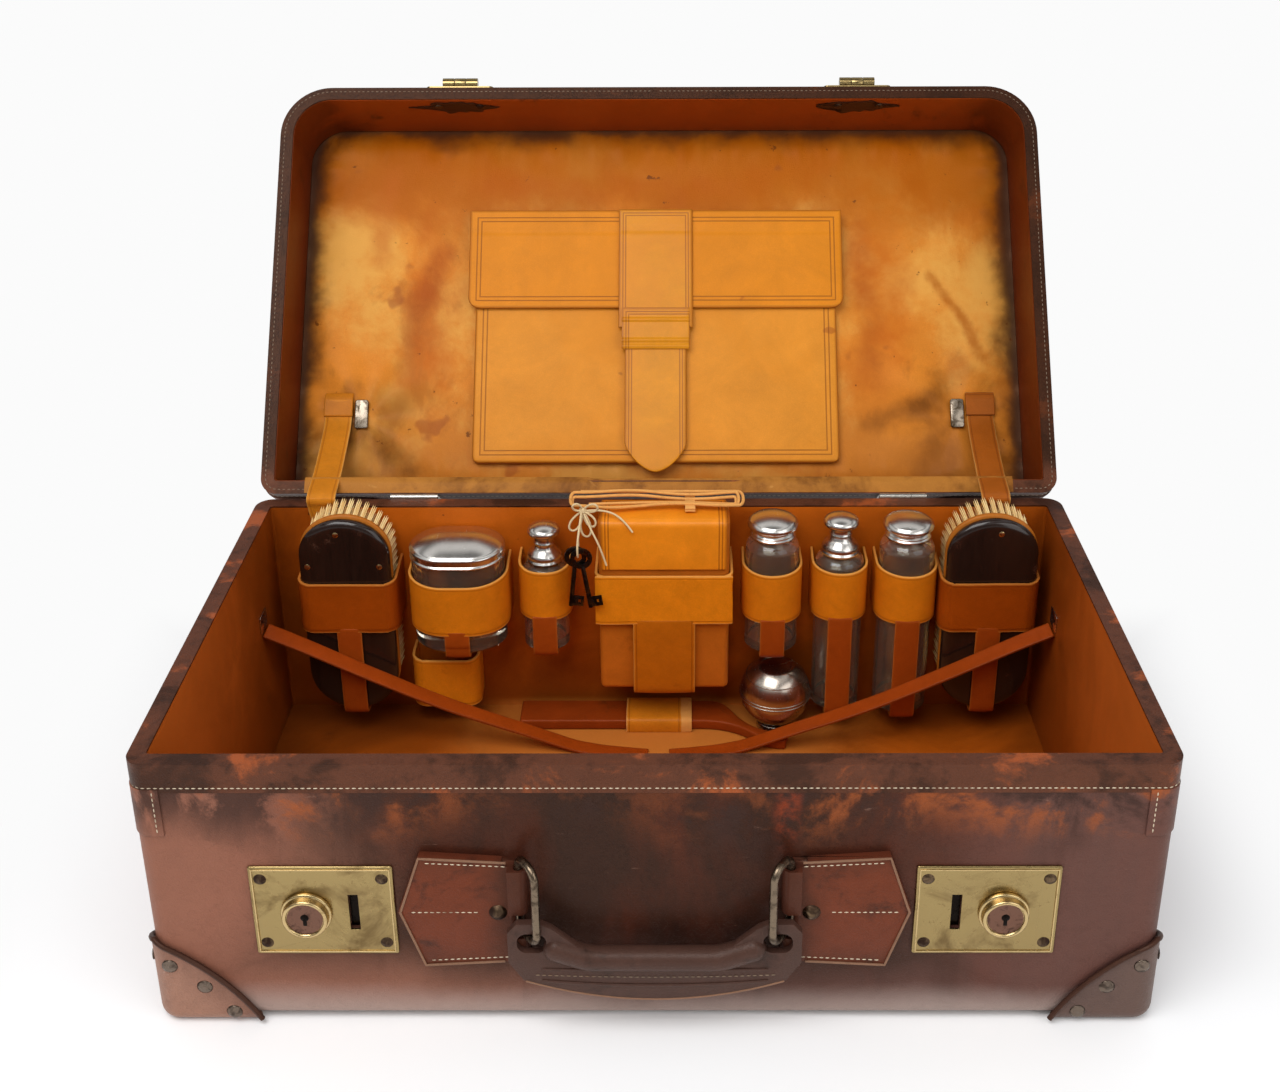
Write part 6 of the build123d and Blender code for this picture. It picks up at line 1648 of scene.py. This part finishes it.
def declared(ob, start, diameter, mat, slot, *lies, pieces=()):
    line, reach = [tuple(c * MM) for c in cord_line(ob)], length_of(ob)
    ob.data.materials.append(mat)
    pick(ob)
    bpy.ops.object.convert(target="MESH")
    tube = bpy.context.object
    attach(tube, "lace")
    return tube


lace = declared(lace, lace_points()[0], 0.0022, lace_hide, "lace_leather", "bare", "medium", "coiled", pieces=(tie,))
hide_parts("lace_hank")
declared(left_end, from_knot((5, -9, -8))[0], 0.0014, string_mat, "string_fibre", "bare", "limp", "hanging",
         pieces=(bead_knot,))
declared(right_end, from_knot((13, -3, 3))[0], 0.0014, string_mat, "string_fibre", "bare", "limp", "loose")
declared(hang, hang_points[0], 0.0014, string_mat, "string_fibre", "knot", "limp", "hanging")

# ------------------------------------------------------------------ floor, backdrop and light
clear()
bpy.ops.mesh.primitive_plane_add(size=8.0, location=(0, 0, 0))
table = bpy.context.object
table.name = "table"
table_mat, n, s = material("pale_table")
n.feed(s.inputs["Base Color"], n.mix(n.noise(n.place(), 3.0, 2.0), colour("fbfbfb"), colour("fdfdfd")))
s.inputs["Roughness"].default_value = 0.6
s.inputs["Specular IOR Level"].default_value = 0.2
tx, ty, _ = n.split(n.place())
away = n.math("MAXIMUM", n.math("SUBTRACT", n.math("ABSOLUTE", tx), 0.30), n.math("SUBTRACT", n.math(
    "ABSOLUTE", n.math("ADD", ty, 0.0)), 0.17))
glow = n.tree.nodes.new("ShaderNodeEmission")
glow.inputs["Color"].default_value = (0.965, 0.965, 0.965, 1)
seen = n.tree.nodes.new("ShaderNodeLightPath")
blend = n.tree.nodes.new("ShaderNodeMixShader")
n.feed(blend.inputs[0], n.math("MULTIPLY", n.step(away, 0.02, 0.14), seen.outputs["Is Camera Ray"]))
n.tree.links.new(s.outputs[0], blend.inputs[1])
n.tree.links.new(glow.outputs[0], blend.inputs[2])
n.tree.links.new(blend.outputs[0], n.tree.nodes["Material Output"].inputs["Surface"])
table.data.materials.append(table_mat)

world = bpy.data.worlds.new("studio")
bpy.context.scene.world = world
world.use_nodes = True
wt = world.node_tree
back = wt.nodes["Background"]
white = wt.nodes.new("ShaderNodeBackground")
white.inputs["Color"].default_value = (0.965, 0.965, 0.965, 1)
white.inputs["Strength"].default_value = 1.0
back.inputs["Color"].default_value = (0.97, 0.98, 1.0, 1)
back.inputs["Strength"].default_value = 0.62
path = wt.nodes.new("ShaderNodeLightPath")
w = Nodes(wt)
_, _, up = w.split(wt.nodes.new("ShaderNodeTexCoord").outputs["Generated"])
room = wt.nodes.new("ShaderNodeBackground")
band = w.math("ADD", 0.16, w.math("MULTIPLY", w.step(up, 0.35, 0.6), 0.85))
band = w.math("SUBTRACT", band, w.math("MULTIPLY", w.step(up, 0.9, 0.97), 0.85))
band = w.math("SUBTRACT", band, w.math("MULTIPLY", w.math("MULTIPLY", w.step(up, 0.64, 0.68), w.step(up, 0.8, 0.76)), 0.9))
band = w.math("ADD", band, w.math("MULTIPLY", w.math("MULTIPLY", w.step(up, -0.02, 0.03), w.step(up, 0.2, 0.12)), 0.5))
w.feed(room.inputs["Strength"], band)
shiny = wt.nodes.new("ShaderNodeMixShader")
wt.links.new(path.outputs["Is Glossy Ray"], shiny.inputs[0])
wt.links.new(back.outputs[0], shiny.inputs[1])
wt.links.new(room.outputs[0], shiny.inputs[2])
mixer = wt.nodes.new("ShaderNodeMixShader")
wt.links.new(path.outputs["Is Camera Ray"], mixer.inputs[0])
wt.links.new(shiny.outputs[0], mixer.inputs[1])
wt.links.new(white.outputs[0], mixer.inputs[2])
wt.links.new(mixer.outputs[0], wt.nodes["World Output"].inputs["Surface"])


def softbox(name, at, aim, size, power):
    bpy.ops.object.light_add(type="AREA", location=at)
    lamp = bpy.context.object
    lamp.name = name
    lamp.data.shape = "RECTANGLE"
    lamp.data.size, lamp.data.size_y = size
    lamp.data.energy = power
    lamp.rotation_euler = (Vector(aim) - Vector(at)).to_track_quat("-Z", "Y").to_euler()
    return lamp


softbox("key_light", (-0.5, -0.9, 1.7), (0, 0.05, 0.15), (1.4, 1.0), 22)
softbox("fill_light", (1.2, -1.1, 0.9), (0, 0, 0.15), (1.2, 1.2), 7)

bpy.context.scene.view_settings.view_transform = "Standard"
